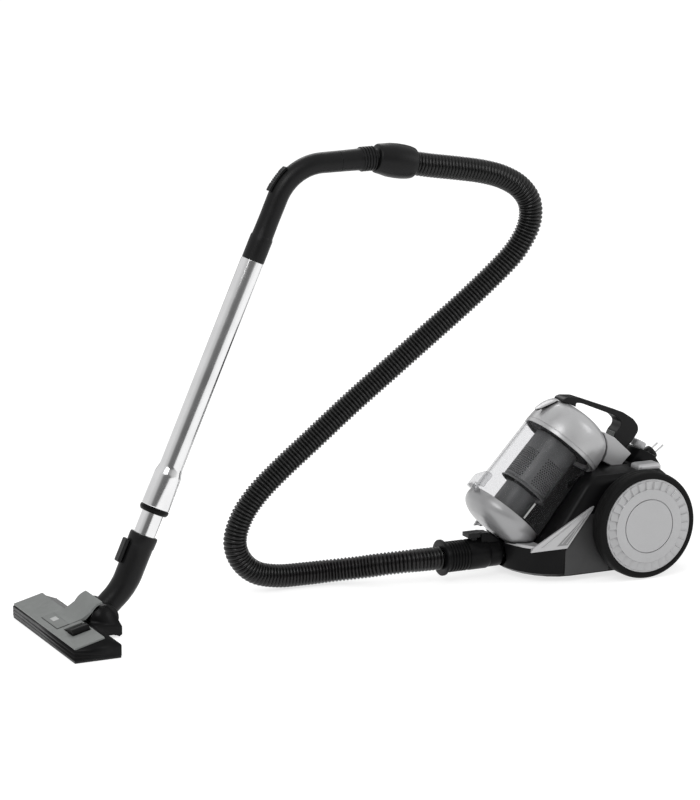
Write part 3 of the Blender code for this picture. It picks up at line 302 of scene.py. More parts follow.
def clear(name, colour, passed, gloss):
    """Clear moulded plastic, faintly smoked: its rims and sides shine more, with fine hairline scratches."""
    graph = Graph(name)
    graph.colour(graph.tint(graph.noise(16.0, 3.0), scaled(colour, 0.94), colour))
    scratch = graph.noise(260.0, 6.0, (1.0, 1.0, 0.12))
    graph.rough(graph.spread(scratch, 0.06, 0.14))
    graph.normal(graph.bump(scratch, 0.00001, 0.2))
    graph.set(IOR=1.50, Specular_IOR_Level=0.5)
    rim = graph.add("ShaderNodeLayerWeight", Blend=0.35)
    through = graph.add("ShaderNodeBsdfTransparent", Color=(passed, passed, passed * 1.004, 1.0))
    mix = graph.add("ShaderNodeMixShader")
    graph.link(graph.spread(rim.outputs["Facing"], gloss, 0.55, 0.45, 1.0), mix.inputs["Fac"])
    graph.link(through.outputs["BSDF"], mix.inputs[1])
    graph.link(graph.shader.outputs["BSDF"], mix.inputs[2])
    graph.link(mix.outputs["Shader"], graph.tree.nodes["Material Output"].inputs["Surface"])
    return graph.material


def foam(name, colour):
    """Open-cell filter foam: small dark pores."""
    graph = Graph(name)
    pores = graph.cells(620.0)["Distance"]
    graph.colour(graph.tint(pores, scaled(colour, 1.5), scaled(colour, 0.4), 0.1, 0.6))
    graph.normal(graph.bump(pores, 0.0006, 0.9))
    graph.set(Roughness=0.95)
    return graph.material


def paper(name):
    """Pleated filter paper: narrow folds across its face, and fine fibres."""
    graph = Graph(name)
    folds = graph.add("ShaderNodeTexWave", wave_type="BANDS", bands_direction="Y", Scale=55.0)
    graph.link(graph.place, folds.inputs["Vector"])
    fibre = graph.noise(700.0, 4.0)
    shade = graph.tint(folds.outputs["Fac"], (0.42, 0.42, 0.40), (0.80, 0.80, 0.76), 0.1, 0.9)
    pale = graph.tint(fibre, (0.6, 0.6, 0.57), (0.9, 0.9, 0.86))
    graph.colour(graph.blend(graph.spread(fibre, 0.0, 0.25), shade, pale))
    graph.normal(graph.bump(folds.outputs["Fac"], 0.0015, 1.0))
    graph.set(Roughness=0.9)
    return graph.material


def bristle(name):
    """Dense black bristles: fine upright strands."""
    graph = Graph(name)
    strands = graph.noise(900.0, 2.0, (1.0, 1.0, 0.06))
    graph.colour(graph.tint(strands, (0.006, 0.006, 0.006), (0.05, 0.05, 0.05)))
    graph.normal(graph.bump(strands, 0.0008, 1.0))
    graph.set(Roughness=0.8)
    return graph.material


BLACK = plastic("moulded_black", (0.0030, 0.0030, 0.0032), 0.32, Specular_IOR_Level=0.10)
SATIN = plastic("satin_black", (0.0055, 0.0055, 0.0058), 0.38, grain=0.00007, Specular_IOR_Level=0.17)
# A lighter copy of the black plastic: painted light on the canister's side face.
PAINTED_LIGHT_PANEL = plastic("side_panel_painted_light_black", (0.036, 0.036, 0.0365), 0.42, grain=0.00006, Specular_IOR_Level=0.26)
HOSE = plastic("hose_black", (0.0035, 0.0035, 0.0035), 0.24, grain=0.00002, wear=1.3, Specular_IOR_Level=0.30)
GREY = plastic("grey_plastic", (0.130, 0.137, 0.133), 0.40, wear=1.25, Specular_IOR_Level=0.3)
CYCLONE = plastic("cyclone_grey", (0.125, 0.126, 0.128), 0.34, wear=1.2, Specular_IOR_Level=0.3)
# Near-black so that the grille's holes read dark: the cone's own colour deepened with painted shade.
CONE_AND_HOLE_SHADE = plastic("cone_dark_grey", (0.030, 0.030, 0.031), 0.40, wear=1.2, Specular_IOR_Level=0.2)
# A darker copy of the silver paint: painted shade on the side trims' facets.
FIN_SHADE_SILVER = silver_paint("fin_painted_shade_silver", (0.21, 0.21, 0.213), 0.34)
SOLE = plastic("sole_black", (0.008, 0.008, 0.0082), 0.42, Specular_IOR_Level=0.2)
SILVER = silver_paint("silver_paint", (0.43, 0.43, 0.435), 0.34)
HUB = silver_paint("hub_silver", (0.385, 0.385, 0.39), 0.38)
COVER = silver_paint("cover_silver", (0.31, 0.31, 0.315), 0.34)
CHROME = chrome("chrome")
STEEL = turned_steel("turned_steel")
TYRE = rubber("tyre_rubber", (0.0035, 0.0035, 0.0035))
CORD = rubber("cord_rubber", (0.018, 0.018, 0.018))
CLEAR = clear("clear_cup", (0.20, 0.20, 0.205), 0.925, 0.03)
CLEAR_THICK = clear("clear_bracket", (0.55, 0.56, 0.57), 0.86, 0.16)
FOAM = foam("filter_foam", (0.05, 0.05, 0.055))
PAPER = paper("filter_paper")
BRISTLE = bristle("bristle")
PALE = plastic("pale_grey", (0.34, 0.345, 0.34), 0.42, wear=1.15)

# The material slot that each look belongs to, unless a piece names another one.
SLOTS = {look.name: slot for slot, looks in (
    ("black_plastic", (BLACK, SATIN, PAINTED_LIGHT_PANEL)), ("silver_plastic", (SILVER, FIN_SHADE_SILVER, COVER, HUB)),
    ("grey_plastic", (GREY, CYCLONE, CONE_AND_HOLE_SHADE, PALE)), ("clear_plastic", (CLEAR,)), ("hose_plastic", (HOSE,)),
    ("chrome_tube", (CHROME,)), ("tyre_rubber", (TYRE,)), ("bristle", (BRISTLE,))) for look in looks}


# ------------------------------------------------------------------ mesh tools
def skin(rings, loop=False, caps=False):
    """A mesh skinned over equal rings of points; loop joins the last ring to the first."""
    work = bmesh.new()
    rows = [[work.verts.new(point) for point in ring] for ring in rings]
    count = len(rows[0])
    following = rows[1:] + rows[:1] if loop else rows[1:]
    for lower, upper in zip(rows, following):
        for i in range(count):
            j = (i + 1) % count
            work.faces.new((lower[i], lower[j], upper[j], upper[i]))
    if caps:
        work.faces.new(tuple(reversed(rows[0])))
        work.faces.new(tuple(rows[-1]))
    return finished(work)


def finished(work, sharp=32.0):
    bmesh.ops.remove_doubles(work, verts=work.verts, dist=0.0000005)
    bmesh.ops.recalc_face_normals(work, faces=work.faces)
    mesh = bpy.data.meshes.new("mesh")
    work.to_mesh(mesh)
    work.free()
    mesh.shade_smooth()
    mesh.set_sharp_from_angle(angle=radians(sharp))
    return mesh


def bend(start, corner, end, t):
    """A point of the curve that leaves start towards corner and arrives at end."""
    return start * (1 - t) ** 2 + corner * (2 * t * (1 - t)) + end * t ** 2


def fillet(points, radius, parts=3, closed=False):
    """The same line with each of its corners rounded."""
    points = [Vector(p) for p in points]
    made = []
    count = len(points)
    for i, corner in enumerate(points):
        if not closed and i in (0, count - 1):
            made.append(corner)
            continue
        before, after = points[i - 1] - corner, points[(i + 1) % count] - corner
        reach = min(radius, before.length * 0.45, after.length * 0.45)
        if before.angle(-after) < radians(8.0):
            made.append(corner)
            continue
        start, end = corner + before.normalized() * reach, corner + after.normalized() * reach
        made += [bend(start, corner, end, k / parts) for k in range(parts + 1)]
    return made


def lathe(profile, steps=96, closed=False, wave=None):
    """A (radius, height) profile turned about Z; wave(turn, radius) changes the radius round the turn."""
    rings = []
    for radius, height in profile:
        ring = []
        for i in range(steps):
            turn = 2 * pi * i / steps
            reach = radius + (wave(turn, radius) if wave else 0.0)
            ring.append(Vector((reach * cos(turn), reach * sin(turn), height)))
        rings.append(ring)
    return skin(rings, loop=closed)


def turned(profile, soften, parts=3, steps=112):
    """A closed profile turned about Z, with its corners rounded."""
    return lathe(fillet(profile, soften, parts, True), steps, True)


def path_frames(points):
    """For each point of a line, two directions across it that don't twist along it."""
    frames = []
    across = None
    for i in range(len(points)):
        ahead = (points[min(i + 1, len(points) - 1)] - points[max(i - 1, 0)]).normalized()
        if across is None:
            across = ahead.orthogonal().normalized()
        across = (across - ahead * across.dot(ahead)).normalized()
        frames.append((across.copy(), ahead.cross(across)))
    return frames


def sweep(points, radii, sides=56, wall=0.0):
    """A round tube along a line; with a wall it is hollow."""
    frames = path_frames(points)

    def rings(shrink):
        made = []
        for place, radius, (u, v) in zip(points, radii, frames):
            reach = radius - shrink
            made.append([place + (u * cos(2 * pi * i / sides) + v * sin(2 * pi * i / sides)) * reach
                         for i in range(sides)])
        return made
    if wall == 0.0:
        return skin(rings(0.0), caps=True)
    return skin(rings(0.0) + list(reversed(rings(wall))), loop=True)


def slab(outline, low, high, plane="XZ"):
    """A flat outline given a thickness along the plane's normal."""
    work = bmesh.new()

    def at(u, v, depth):
        return (u, depth, v) if plane == "XZ" else (u, v, depth)
    bottom = [work.verts.new(at(u, v, low)) for u, v in outline]
    top = [work.verts.new(at(u, v, high)) for u, v in outline]
    count = len(outline)
    work.faces.new(bottom)
    work.faces.new(tuple(reversed(top)))
    for i in range(count):
        j = (i + 1) % count
        work.faces.new((bottom[i], top[i], top[j], bottom[j]))
    return finished(work)


def block(low, high):
    return slab([(low[0], low[1]), (high[0], low[1]), (high[0], high[1]), (low[0], high[1])], low[2], high[2],
                "XY")


def add_box(work, middle, sizes):
    bmesh.ops.create_cube(work, size=1.0, matrix=Matrix.Translation(middle) @ Matrix.Diagonal((*sizes, 1.0)))


def smooth(places, parts):
    """A Catmull-Rom curve through all the places; parts(length) is the number of steps in a stretch."""
    ends = [2 * places[0] - places[1]] + places + [2 * places[-1] - places[-2]]
    made = []
    for a, b, c, d in zip(ends, ends[1:], ends[2:], ends[3:]):
        count = parts((c - b).length)
        for k in range(count):
            t = k / count
            made.append(0.5 * (2 * b + (c - a) * t + (2 * a - 5 * b + 4 * c - d) * t ** 2
                               + (3 * b - a - 3 * c + d) * t ** 3))
    return made + [places[-1].copy()]


def even(points, spacing):
    """The same line with points an even distance apart, and the distance of each along it."""
    lengths = [0.0]
    for a, b in zip(points, points[1:]):
        lengths.append(lengths[-1] + (b - a).length)
    count = max(2, round(lengths[-1] / spacing))
    made, along, at = [], [], 0
    for k in range(count + 1):
        want = lengths[-1] * k / count
        while at < len(points) - 2 and lengths[at + 1] < want:
            at += 1
        share = (want - lengths[at]) / max(lengths[at + 1] - lengths[at], 1e-9)
        made.append(points[at].lerp(points[at + 1], share))
        along.append(want)
    return made, along


def in_cup():
    return Matrix.Translation(CUP_BASE) @ Matrix.Rotation(CUP_TILT, 4, "Y")


def towards(at, direction):
    """A frame at a point whose +Z runs in a direction of the XZ plane."""
    return Matrix.Translation(at) @ Matrix.Rotation(atan2(direction[0], direction[2]), 4, "Y")


def sideways(at, side):
    return Matrix.Translation(at) @ Matrix.Rotation(-side * pi / 2, 4, "X")


def piece(name, mesh, look, body, stands_for=(), at=None, slot=None, edge=0.0):
    """Adds a piece on its body, standing for the named CAD nodes; the slot it works out from its look or the
    one given is not used.
    """
    if at is not None:
        mesh.transform(at)
    mesh.materials.clear()
    mesh.materials.append(look)
    made = add_object(name, mesh)
    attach(made, body)
    if stands_for:
        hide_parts(*stands_for)
    slot = slot or SLOTS[look.name]
    if edge:
        round_edges(made, edge)
    return made


def round_edges(thing, width, segments=3, angle=35.0):
    step = thing.modifiers.new("bevel", "BEVEL")
    step.width = width
    step.segments = segments
    step.limit_method = "ANGLE"
    step.angle_limit = radians(angle)
    thing.modifiers.new("normals", "WEIGHTED_NORMAL").keep_sharp = True
    return thing


def cut(thing, mesh, at=None):
    """Cuts a hidden shape out of a piece."""
    if at is not None:
        mesh.transform(at)
    tool = add_object("cutter_" + thing.name, mesh)
    tool.hide_render = True
    tool.hide_viewport = True
    tool.display_type = "WIRE"
    step = thing.modifiers.new("cut", "BOOLEAN")
    step.solver = "EXACT"
    step.object = tool
    tool.parent = thing.parent
    return thing


def dress(look, *names, sharp=32.0):
    """Gives carried-over CAD nodes a look, and smooth shading where their facets meet gently."""
    for name in names:
        node = NODES[name]
        for index in range(len(node.data.materials)):
            node.data.materials[index] = look
        if not node.data.materials:
            node.data.materials.append(look)
        normals = node.data.attributes.get("custom_normal")
        if normals:
            node.data.attributes.remove(normals)
        node.data.shade_smooth()
        weld = node.modifiers.new("weld", "WELD")
        weld.merge_threshold = 0.000004
        split = node.modifiers.new("split", "EDGE_SPLIT")
        split.split_angle = radians(sharp)
        split.use_edge_sharp = False


# ------------------------------------------------------------------ hose
HOSE_PITCH = 0.0059
HOSE_GROOVE = 0.0027
POINTS_PER_RIB = 8
ROUTE_STEP = 0.004
RIB_ROUNDNESS = 0.55


def hose():
    route = smooth([Vector(place) for place in HOSE_ROUTE], lambda length: max(1, round(length / ROUTE_STEP)))
    points, along = even(route, HOSE_PITCH / POINTS_PER_RIB)
    radii = []
    for distance in along:
        wave = 0.5 - 0.5 * cos(2 * pi * distance / HOSE_PITCH)
        radii.append(HOSE_RADIUS - HOSE_GROOVE * (1.0 - wave ** RIB_ROUNDNESS))
    made = piece("corrugated_hose", sweep(points, radii, 40), HOSE, "canister", ["hose"])


def ribs(radius, low_radius, start, pitch, count, share=0.55):
    """Profile points of a row of ribs running towards lower heights."""
    points = []
    for i in range(count):
        top = start - pitch * i
        points += [(radius, top), (radius, top - pitch * share), (low_radius, top - pitch * share),
                   (low_radius, top - pitch)]
    return points


def hose_ends():
    axis = (1.0, 0.0, 0.0)
    front = spot(CUFF_FRONT, 0.0, INLET_Z)
    cuff = [(0.0165, 0.0450), (0.0240, 0.0450), (0.0240, 0.0425)] + ribs(0.0253, 0.0234, 0.0425, 0.0053, 6)
    cuff += [(0.0234, 0.0060), (0.0272, 0.0045), (0.0295, 0.0040), (0.0295, 0.0), (0.0165, 0.0)]
    piece("hose_cuff_ribbed", turned(cuff, 0.0006, 2), BLACK, "hose_cuff", ["hose_cuff"],
          towards(front, axis))
    top = (Vector(HOSE_ROUTE[0]) - Vector(HOSE_ROUTE[1])).normalized()
    cuff = [(0.0135, 0.0120), (0.0135, 0.0), (0.0225, 0.0), (0.0240, -0.0100), (0.0263, -0.0215),
            (0.0270, -0.0330), (0.0268, -0.0460), (0.0256, -0.0570), (0.0236, -0.0640),
            (0.0210, -HANDLE_CUFF_LENGTH), (0.0165, -HANDLE_CUFF_LENGTH), (0.0165, -0.0040),
            (0.0105, -0.0040), (0.0105, 0.0120)]
    at = Vector(HOSE_ROUTE[0]) + top * (HANDLE_CUFF_LENGTH + 0.0003)
    piece("handle_cuff_shell", turned(cuff, 0.0030, 4), SATIN, "handle_cuff", ["handle_cuff"],
          towards(at, top))
    port = [(0.0130, 0.0), (0.0240, -0.0115), (0.0240, -0.0315), (0.0205, -0.0315), (0.0205, -0.0130),
            (0.0100, -0.0020), (0.0100, 0.0)]
    piece("inlet_port_shell", turned(port, 0.0010, 2, 96), BLACK, "canister", ["inlet_port"],
          towards(spot(PORT_FRONT + 0.0315, 0.0, INLET_Z), axis))
    latch = piece("latch_button", block(spot(-0.2620, -0.0110, 0.0670), spot(-0.2400, 0.0110, 0.0740)), SATIN,
                  "connector_latch", ["connector_latch"])
    for i in range(3):
        at = spot(-0.2575 + 0.0045 * i, 0.0, 0.0740)
        cut(latch, block(at - Vector((0.0008, 0.0080, 0.0008)), at + Vector((0.0008, 0.0080, 0.0010))))
    round_edges(latch, 0.0009)
    saddle = [(-0.2393, 0.0500), (-0.2393, 0.0722), (-0.2375, 0.0738), (-0.2230, 0.0722), (-0.2020, 0.0560),
              (-0.1960, 0.0500)]
    piece("connector_saddle", slab([(x + ROOT.x, z) for x, z in saddle], ROOT.y - 0.0135, ROOT.y + 0.0135),
          BLACK, "canister", edge=0.0012)
    stem = block(spot(-0.2540, -0.0070, 0.0585), spot(-0.2440, 0.0070, 0.0680))
    piece("latch_stem", stem, SATIN, "connector_latch", edge=0.0006)


# ------------------------------------------------------------------ handle and wand
SLIDER_START = 128.0
SLIDER_SPAN = 25.0
SLIDER_RIDGE = 0.0009


def tube_point(length):
    return TUBE_TOP + TUBE_DOWN * length


def handle_path():
    """Centre line of the handle with a radius at each point: grip, bend, then a ribbed end."""
    side = Vector((cos(TUBE_LEAN), 0.0, -sin(TUBE_LEAN)))
    centre = TUBE_TOP - TUBE_DOWN * HANDLE_STRAIGHT + side * HANDLE_BEND_RADIUS
    points, radii = [], []
    socket = [(0.0005, 0.0170), (0.0015, 0.0178), (0.0120, 0.0178), (0.0300, 0.0178), (0.0375, 0.0178),
              (0.0390, 0.0172), (0.0410, 0.0165), (0.0550, 0.0162), (0.0700, 0.0160), (0.0860, 0.0161)]
    for length, radius in socket:
        points.append(TUBE_TOP - TUBE_DOWN * length)
        radii.append(radius)
    first, last = pi - TUBE_LEAN, pi / 2 + HANDLE_END_RISE
    for i in range(41):
        turn = first + (last - first) * i / 40
        points.append(centre + Vector((cos(turn), 0.0, sin(turn))) * HANDLE_BEND_RADIUS)
        radii.append(0.0162)
    level = Vector((cos(HANDLE_END_RISE), 0.0, sin(HANDLE_END_RISE)))
    corner = points[-1]
    steps = [(0.0150, 0.0163), (0.0270, 0.0164), (0.0274, 0.0159), (0.0282, 0.0159), (0.0286, 0.0164),
             (0.0400, 0.0165), (0.0560, 0.0168), (0.0630, 0.0171), (0.0643, 0.0176)]
    for i in range(4):
        start = 0.0646 + 0.0048 * i
        steps += [(start, 0.0187), (start + 0.0006, 0.0192), (start + 0.0026, 0.0192),
                  (start + 0.0032, 0.0187), (start + 0.0034, 0.0174), (start + 0.0046, 0.0174)]
    steps += [(0.0838, 0.0187), (0.0844, 0.0192), (0.0855, 0.0192), (HANDLE_TAIL, 0.0186)]
    for length, radius in steps:
        points.append(corner + level * length)
        radii.append(radius)
    return centre, points, radii


def handle():
    centre, points, radii = handle_path()
    piece("handle_grip", sweep(points, radii, 72, 0.0022), SATIN, "canister", ["handle_pipe"])
    inner, outer = HANDLE_BEND_RADIUS + 0.0166, HANDLE_BEND_RADIUS + 0.0200
    outline = []
    for i in range(51):
        turn = radians(SLIDER_START + SLIDER_SPAN * i / 50)
        ridged = 14 <= i <= 36 and i % 4 >= 2
        outline.append((outer - (SLIDER_RIDGE if ridged else 0.0), turn))
    outline += [(inner, radians(SLIDER_START + SLIDER_SPAN * i / 16)) for i in reversed(range(17))]
    flat = [(centre.x + reach * cos(turn), centre.z + reach * sin(turn)) for reach, turn in outline]
    slider = piece("air_slider_button", slab(flat, NOZZLE_Y - 0.0065, NOZZLE_Y + 0.0065), BLACK, "air_slider",
                   ["air_slider"])
    round_edges(slider, 0.0004, 2, 50.0)


def wand():
    upward = -TUBE_DOWN
    bore = TUBE_RADIUS - 0.0008
    outer = [(TUBE_RADIUS, TUBE_LENGTH), (TUBE_RADIUS, 0.0620), (0.0216, 0.0500), (0.0226, -0.0032),
             (bore, -0.0032), (bore, TUBE_LENGTH)]
    piece("wand_outer_tube", turned(outer, 0.0030, 5, 128), CHROME, "canister", ["outer_tube"],
          towards(tube_point(TUBE_LENGTH), upward))
    lock = [(0.0229, 0.0086), (0.0229, 0.0038), (0.0205, 0.0), (0.0178, 0.0), (0.0178, 0.0086)]
    piece("tube_lock_ring", turned(lock, 0.0012, 3, 96), BLACK, "tube_lock", ["tube_lock"],
          towards(tube_point(TUBE_LENGTH + 0.0122), upward))
    length = NECK_TOP + 0.022 - 0.110
    inner = [(INNER_TUBE_RADIUS, length), (INNER_TUBE_RADIUS, 0.0), (INNER_TUBE_RADIUS - 0.0008, 0.0),
             (INNER_TUBE_RADIUS - 0.0008, length)]
    piece("wand_inner_tube", lathe(inner, 128, True), CHROME, "lower_wand", ["inner_tube"],
          towards(tube_point(NECK_TOP + 0.022), upward))


def neck():
    rise = Vector((cos(NECK_RISE), 0.0, sin(NECK_RISE)))
    top = tube_point(NECK_TOP)
    reach = top - BARREL_AT
    cross = rise.x * TUBE_DOWN.z - rise.z * TUBE_DOWN.x
    corner = BARREL_AT + rise * ((reach.x * TUBE_DOWN.z - reach.z * TUBE_DOWN.x) / cross)
    start, end = corner - rise * 0.022, corner - TUBE_DOWN * 0.022
    points = [BARREL_AT + rise * 0.010]
    points += [BARREL_AT.lerp(start, share) for share in (0.45, 0.7)]
    points += [bend(start, corner, end, i / 24) for i in range(25)]
    run = (top - end).length
    points += [end - TUBE_DOWN * (run * share) for share in (0.25, 0.5, 0.70, 0.72, 0.75, 0.95, 1.0)]
    count = len(points)
    radii = [0.0188 + 0.0020 * min(1.0, i / (count - 8)) for i in range(count - 5)]
    radii += [0.0210, 0.0214, 0.0220, 0.0222, 0.0216]
    made = piece("nozzle_neck_pipe", sweep(points, radii, 72, 0.0040), SATIN, "nozzle_neck", ["nozzle_neck"])
    cut(made, lathe([(0.0, 0.060), (0.01755, 0.060), (0.01755, 0.0), (0.0, 0.0)], 64),
        towards(tube_point(NECK_TOP + 0.0225), -TUBE_DOWN))
    half = CHEEK_IN - 0.0003
    barrel = [(0.0, half), (0.0215, half), (0.0215, -half), (0.0, -half)]
    drum = piece("nozzle_neck_barrel", lathe(fillet(barrel, 0.0014, 3), 96), SATIN, "nozzle_neck",
                 at=sideways(BARREL_AT, 1))
    cut(drum, lathe([(0.0, 0.030), (0.0150, 0.030), (0.0150, 0.0), (0.0, 0.0)], 48), towards(BARREL_AT, rise))
    cut(drum, block(BARREL_AT + Vector((-0.024, -0.024, -0.013)), BARREL_AT + Vector((0.0, 0.024, 0.006))))
    piece("parking_clip_tab", block((-0.0285, -0.008, -0.034), (-0.0224, 0.008, 0.004)), SATIN, "nozzle_neck",
          ["parking_clip"], towards(tube_point(NECK_TOP + 0.018), -TUBE_DOWN), edge=0.0016)


# ------------------------------------------------------------------ floor nozzle
PLATE_SLOPE = 0.2543


def on_plate(depth, across=0.0, proud=0.0):
    """A frame on the nozzle's sloping top: +X up the slope, +Z out of the plate."""
    at = Vector((NOZZLE_FRONT + depth, NOZZLE_Y + across, 0.0226 + (depth - 0.0012) * PLATE_SLOPE))
    tilt = Matrix.Rotation(-atan2(PLATE_SLOPE, 1.0), 4, "Y")
    return Matrix.Translation(at) @ tilt @ Matrix.Translation((0.0, 0.0, proud))


def nozzle():
    dress(BLACK, "nozzle_body")
    body = NODES["nozzle_body"]
    for low in (0.0072, 0.0128):
        groove_low = Vector((NOZZLE_FRONT - 0.0010, NOZZLE_Y - NOZZLE_HALF_WIDTH - 0.001, low))
        groove_high = Vector((NOZZLE_FRONT + 0.0007, NOZZLE_Y + NOZZLE_HALF_WIDTH + 0.001, low + 0.0010))
        cut(body, block(groove_low, groove_high))
    dress(GREY, "nozzle_plate")
    dress(SOLE, "nozzle_sole")
    # A thin black strip round the raised panel: a painted shadow line along the panel's edges.
    shadow = piece("nozzle_panel_painted_shadow", block((0.0, -0.0352, -0.0006), (0.0210, 0.0352, 0.00025)), BLACK,
                   "floor_nozzle", at=on_plate(0.0100))
    round_edges(shadow, 0.0001, 1)
    piece("nozzle_panel", block((0.0009, -0.0342, -0.0006), (0.0205, 0.0342, 0.0011)), GREY, "floor_nozzle",
          at=on_plate(0.0100), edge=0.0005)
    piece("nozzle_plain_badge", block((-0.0050, -0.0080, 0.0), (0.0050, 0.0080, 0.0016)), PALE,
          "floor_nozzle", at=on_plate(0.0215, 0.0065), edge=0.0006)
    rocker = [(-0.0190, -0.0020), (-0.0190, 0.0010), (-0.0165, 0.0055), (-0.0120, 0.0076), (-0.0010, 0.0076),
              (0.0040, 0.0030), (0.0100, 0.0010), (0.0190, 0.0004), (0.0190, -0.0020), (0.0, -0.0045)]
    outline = fillet(rocker, 0.0025, 4, True)
    turn = Matrix.Rotation(pi / 2, 4, "Z") @ Matrix.Rotation(radians(7.0), 4, "Y") @ \
        Matrix.Rotation(radians(-13.0), 4, "X")
    pedal = piece("brush_pedal_rocker", slab(outline, -0.0138, 0.0138), BLACK, "brush_pedal", ["brush_pedal"],
                  Matrix.Translation(PEDAL_AT) @ turn)
    round_edges(pedal, 0.0007, 2, 50.0)
    for name, depth in (("brush_strip_front", 0.0100), ("brush_strip_rear", 0.0605)):
        piece(name + "_tufts", tufts(depth), BRISTLE, "brush_strips", [name])


def tufts(depth):
    """A backing bar with three rows of round bristle tufts below it."""
    work = bmesh.new()
    low = Vector((NOZZLE_FRONT + depth, NOZZLE_Y - 0.1270, 0.0078))
    high = Vector((NOZZLE_FRONT + depth + 0.0050, NOZZLE_Y + 0.1270, 0.0130))
    add_box(work, (low + high) / 2, high - low)
    for row in range(3):
        for i in range(84):
            x = NOZZLE_FRONT + depth + 0.0010 + 0.0015 * row
            y = NOZZLE_Y - 0.1255 + 0.00302 * (i + 0.5 * (row % 2))
            bmesh.ops.create_cone(work, cap_ends=True, segments=7, radius1=0.0007, radius2=0.0006,
                                  depth=0.0068, matrix=Matrix.Translation((x, y, 0.0046)))
    return finished(work)


# ------------------------------------------------------------------ dust cup
GRILLE_RADIUS = 0.0390
GRILLE_HOLE = 0.00145
GRILLE_CELL_TURNS = 60
GRILLE_CELL_HEIGHT = 0.0036
GRILLE_FIELDS = 4
GRILLE_TURN = 0.422
GRILLE_ROWS = (1, 14)


def perforated(radius, low, high, cells, holes):
    """A sheet round Z in brick-laid square cells; holes(row, turn) says which cells have a round hole."""
    work = bmesh.new()
    rows = round((high - low) / GRILLE_CELL_HEIGHT)
    tall = (high - low) / rows
    wide = 2 * pi / cells
    corners = ((-1, -1), (0, -1), (1, -1), (1, 0), (1, 1), (0, 1), (-1, 1), (-1, 0))
    around = [(wide / 2 * a, tall / 2 * b) for a, b in corners]

    def at(turn, height):
        return work.verts.new((radius * cos(turn), radius * sin(turn), height))
    for row in range(rows):
        for cell in range(cells):
            turn = wide * (cell + 0.5 * (row % 2))
            middle = low + tall * (row + 0.5)
            outer = [at(turn + du, middle + dv) for du, dv in around]
            if not holes(row, turn):
                work.faces.new(outer)
                continue
            inner = []
            for du, dv in around:
                angle = atan2(dv / tall, du / wide)
                inner.append(at(turn + GRILLE_HOLE / radius * cos(angle), middle + GRILLE_HOLE * sin(angle)))
            for i in range(8):
                j = (i + 1) % 8
                work.faces.new((outer[i], outer[j], inner[j], inner[i]))
    return finished(work, 60.0)


def is_hole(row, turn):
    """Holes come in fields round the grille, with a plain strip between one field and the next."""
    place = (turn / (2 * pi) * GRILLE_FIELDS + GRILLE_TURN) % 1.0
    return GRILLE_ROWS[0] <= row <= GRILLE_ROWS[1] and 0.155 < place < 0.845


def dust_cup():
    frame_at = in_cup()
    inner = CUP_RADIUS - 0.0025
    wall = [(CUP_RADIUS, CUP_TOP), (CUP_RADIUS, CUP_FOOT), (inner, CUP_FOOT), (inner, CUP_TOP)]
    piece("cup_wall_clear", turned(wall, 0.0008, 3, 144), CLEAR, "dust_cup", ["cup_wall"], frame_at)
    # A pale raised bar on the cup's wall: a painted highlight.
    painted_glint = block((CUP_RADIUS - 0.0003, -0.0016, -0.0100), (CUP_RADIUS + 0.0006, 0.0016, 0.0200))
    piece("cup_painted_highlight_bar", painted_glint, PALE, "dust_cup", slot="clear_plastic",
          at=frame_at @ Matrix.Rotation(radians(-92.5), 4, "Z"), edge=0.0004)
    skirt = [(0.0390, 0.0400), (0.0392, 0.0385), (0.0428, 0.0352), (0.0428, 0.0345), (0.0412, 0.0345),
             (0.0374, 0.0385), (0.0374, 0.0400)]
    piece("cyclone_skirt", turned(skirt, 0.0004, 2), CYCLONE, "dust_cup", ["cyclone_grille"], frame_at)
    grille = piece("cyclone_screen", perforated(GRILLE_RADIUS, 0.0400, 0.1276, GRILLE_CELL_TURNS, is_hole),
                   CYCLONE, "dust_cup", at=frame_at)
    thick = grille.modifiers.new("thickness", "SOLIDIFY")
    thick.thickness = 0.0013
    thick.offset = -1.0
    # A dark sheet just behind the grille, so that its holes show dark: painted shade inside the cyclone.
    liner = [(0.0374, 0.1270), (0.0374, 0.0405), (0.0368, 0.0405), (0.0368, 0.1270)]
    piece("cyclone_hole_shade_liner", lathe(liner, 96, True), CONE_AND_HOLE_SHADE, "dust_cup", at=frame_at)
    cone = [(0.0340, 0.1275), (0.0190, 0.0500), (0.0190, 0.0322), (0.0168, 0.0322), (0.0168, 0.0500),
            (0.0318, 0.1275)]
    piece("cyclone_cone_shell", turned(cone, 0.0012), CONE_AND_HOLE_SHADE, "dust_cup", ["cyclone_cone"], frame_at)
    tube = [(0.0168, 0.0320), (0.0290, 0.0320), (0.0290, -0.0080), (0.0268, -0.0080), (0.0268, 0.0298),
            (0.0168, 0.0298)]
    piece("cyclone_outlet_tube", turned(tube, 0.0010), CYCLONE, "dust_cup", at=frame_at)
    lid_and_cover(frame_at)


def curve_through(points, count):
    """A smooth line through (radius, height) points."""
    fine = smooth([Vector(point) for point in points], lambda length: count)
    return [(max(0.0, point.x), point.y) for point in fine]


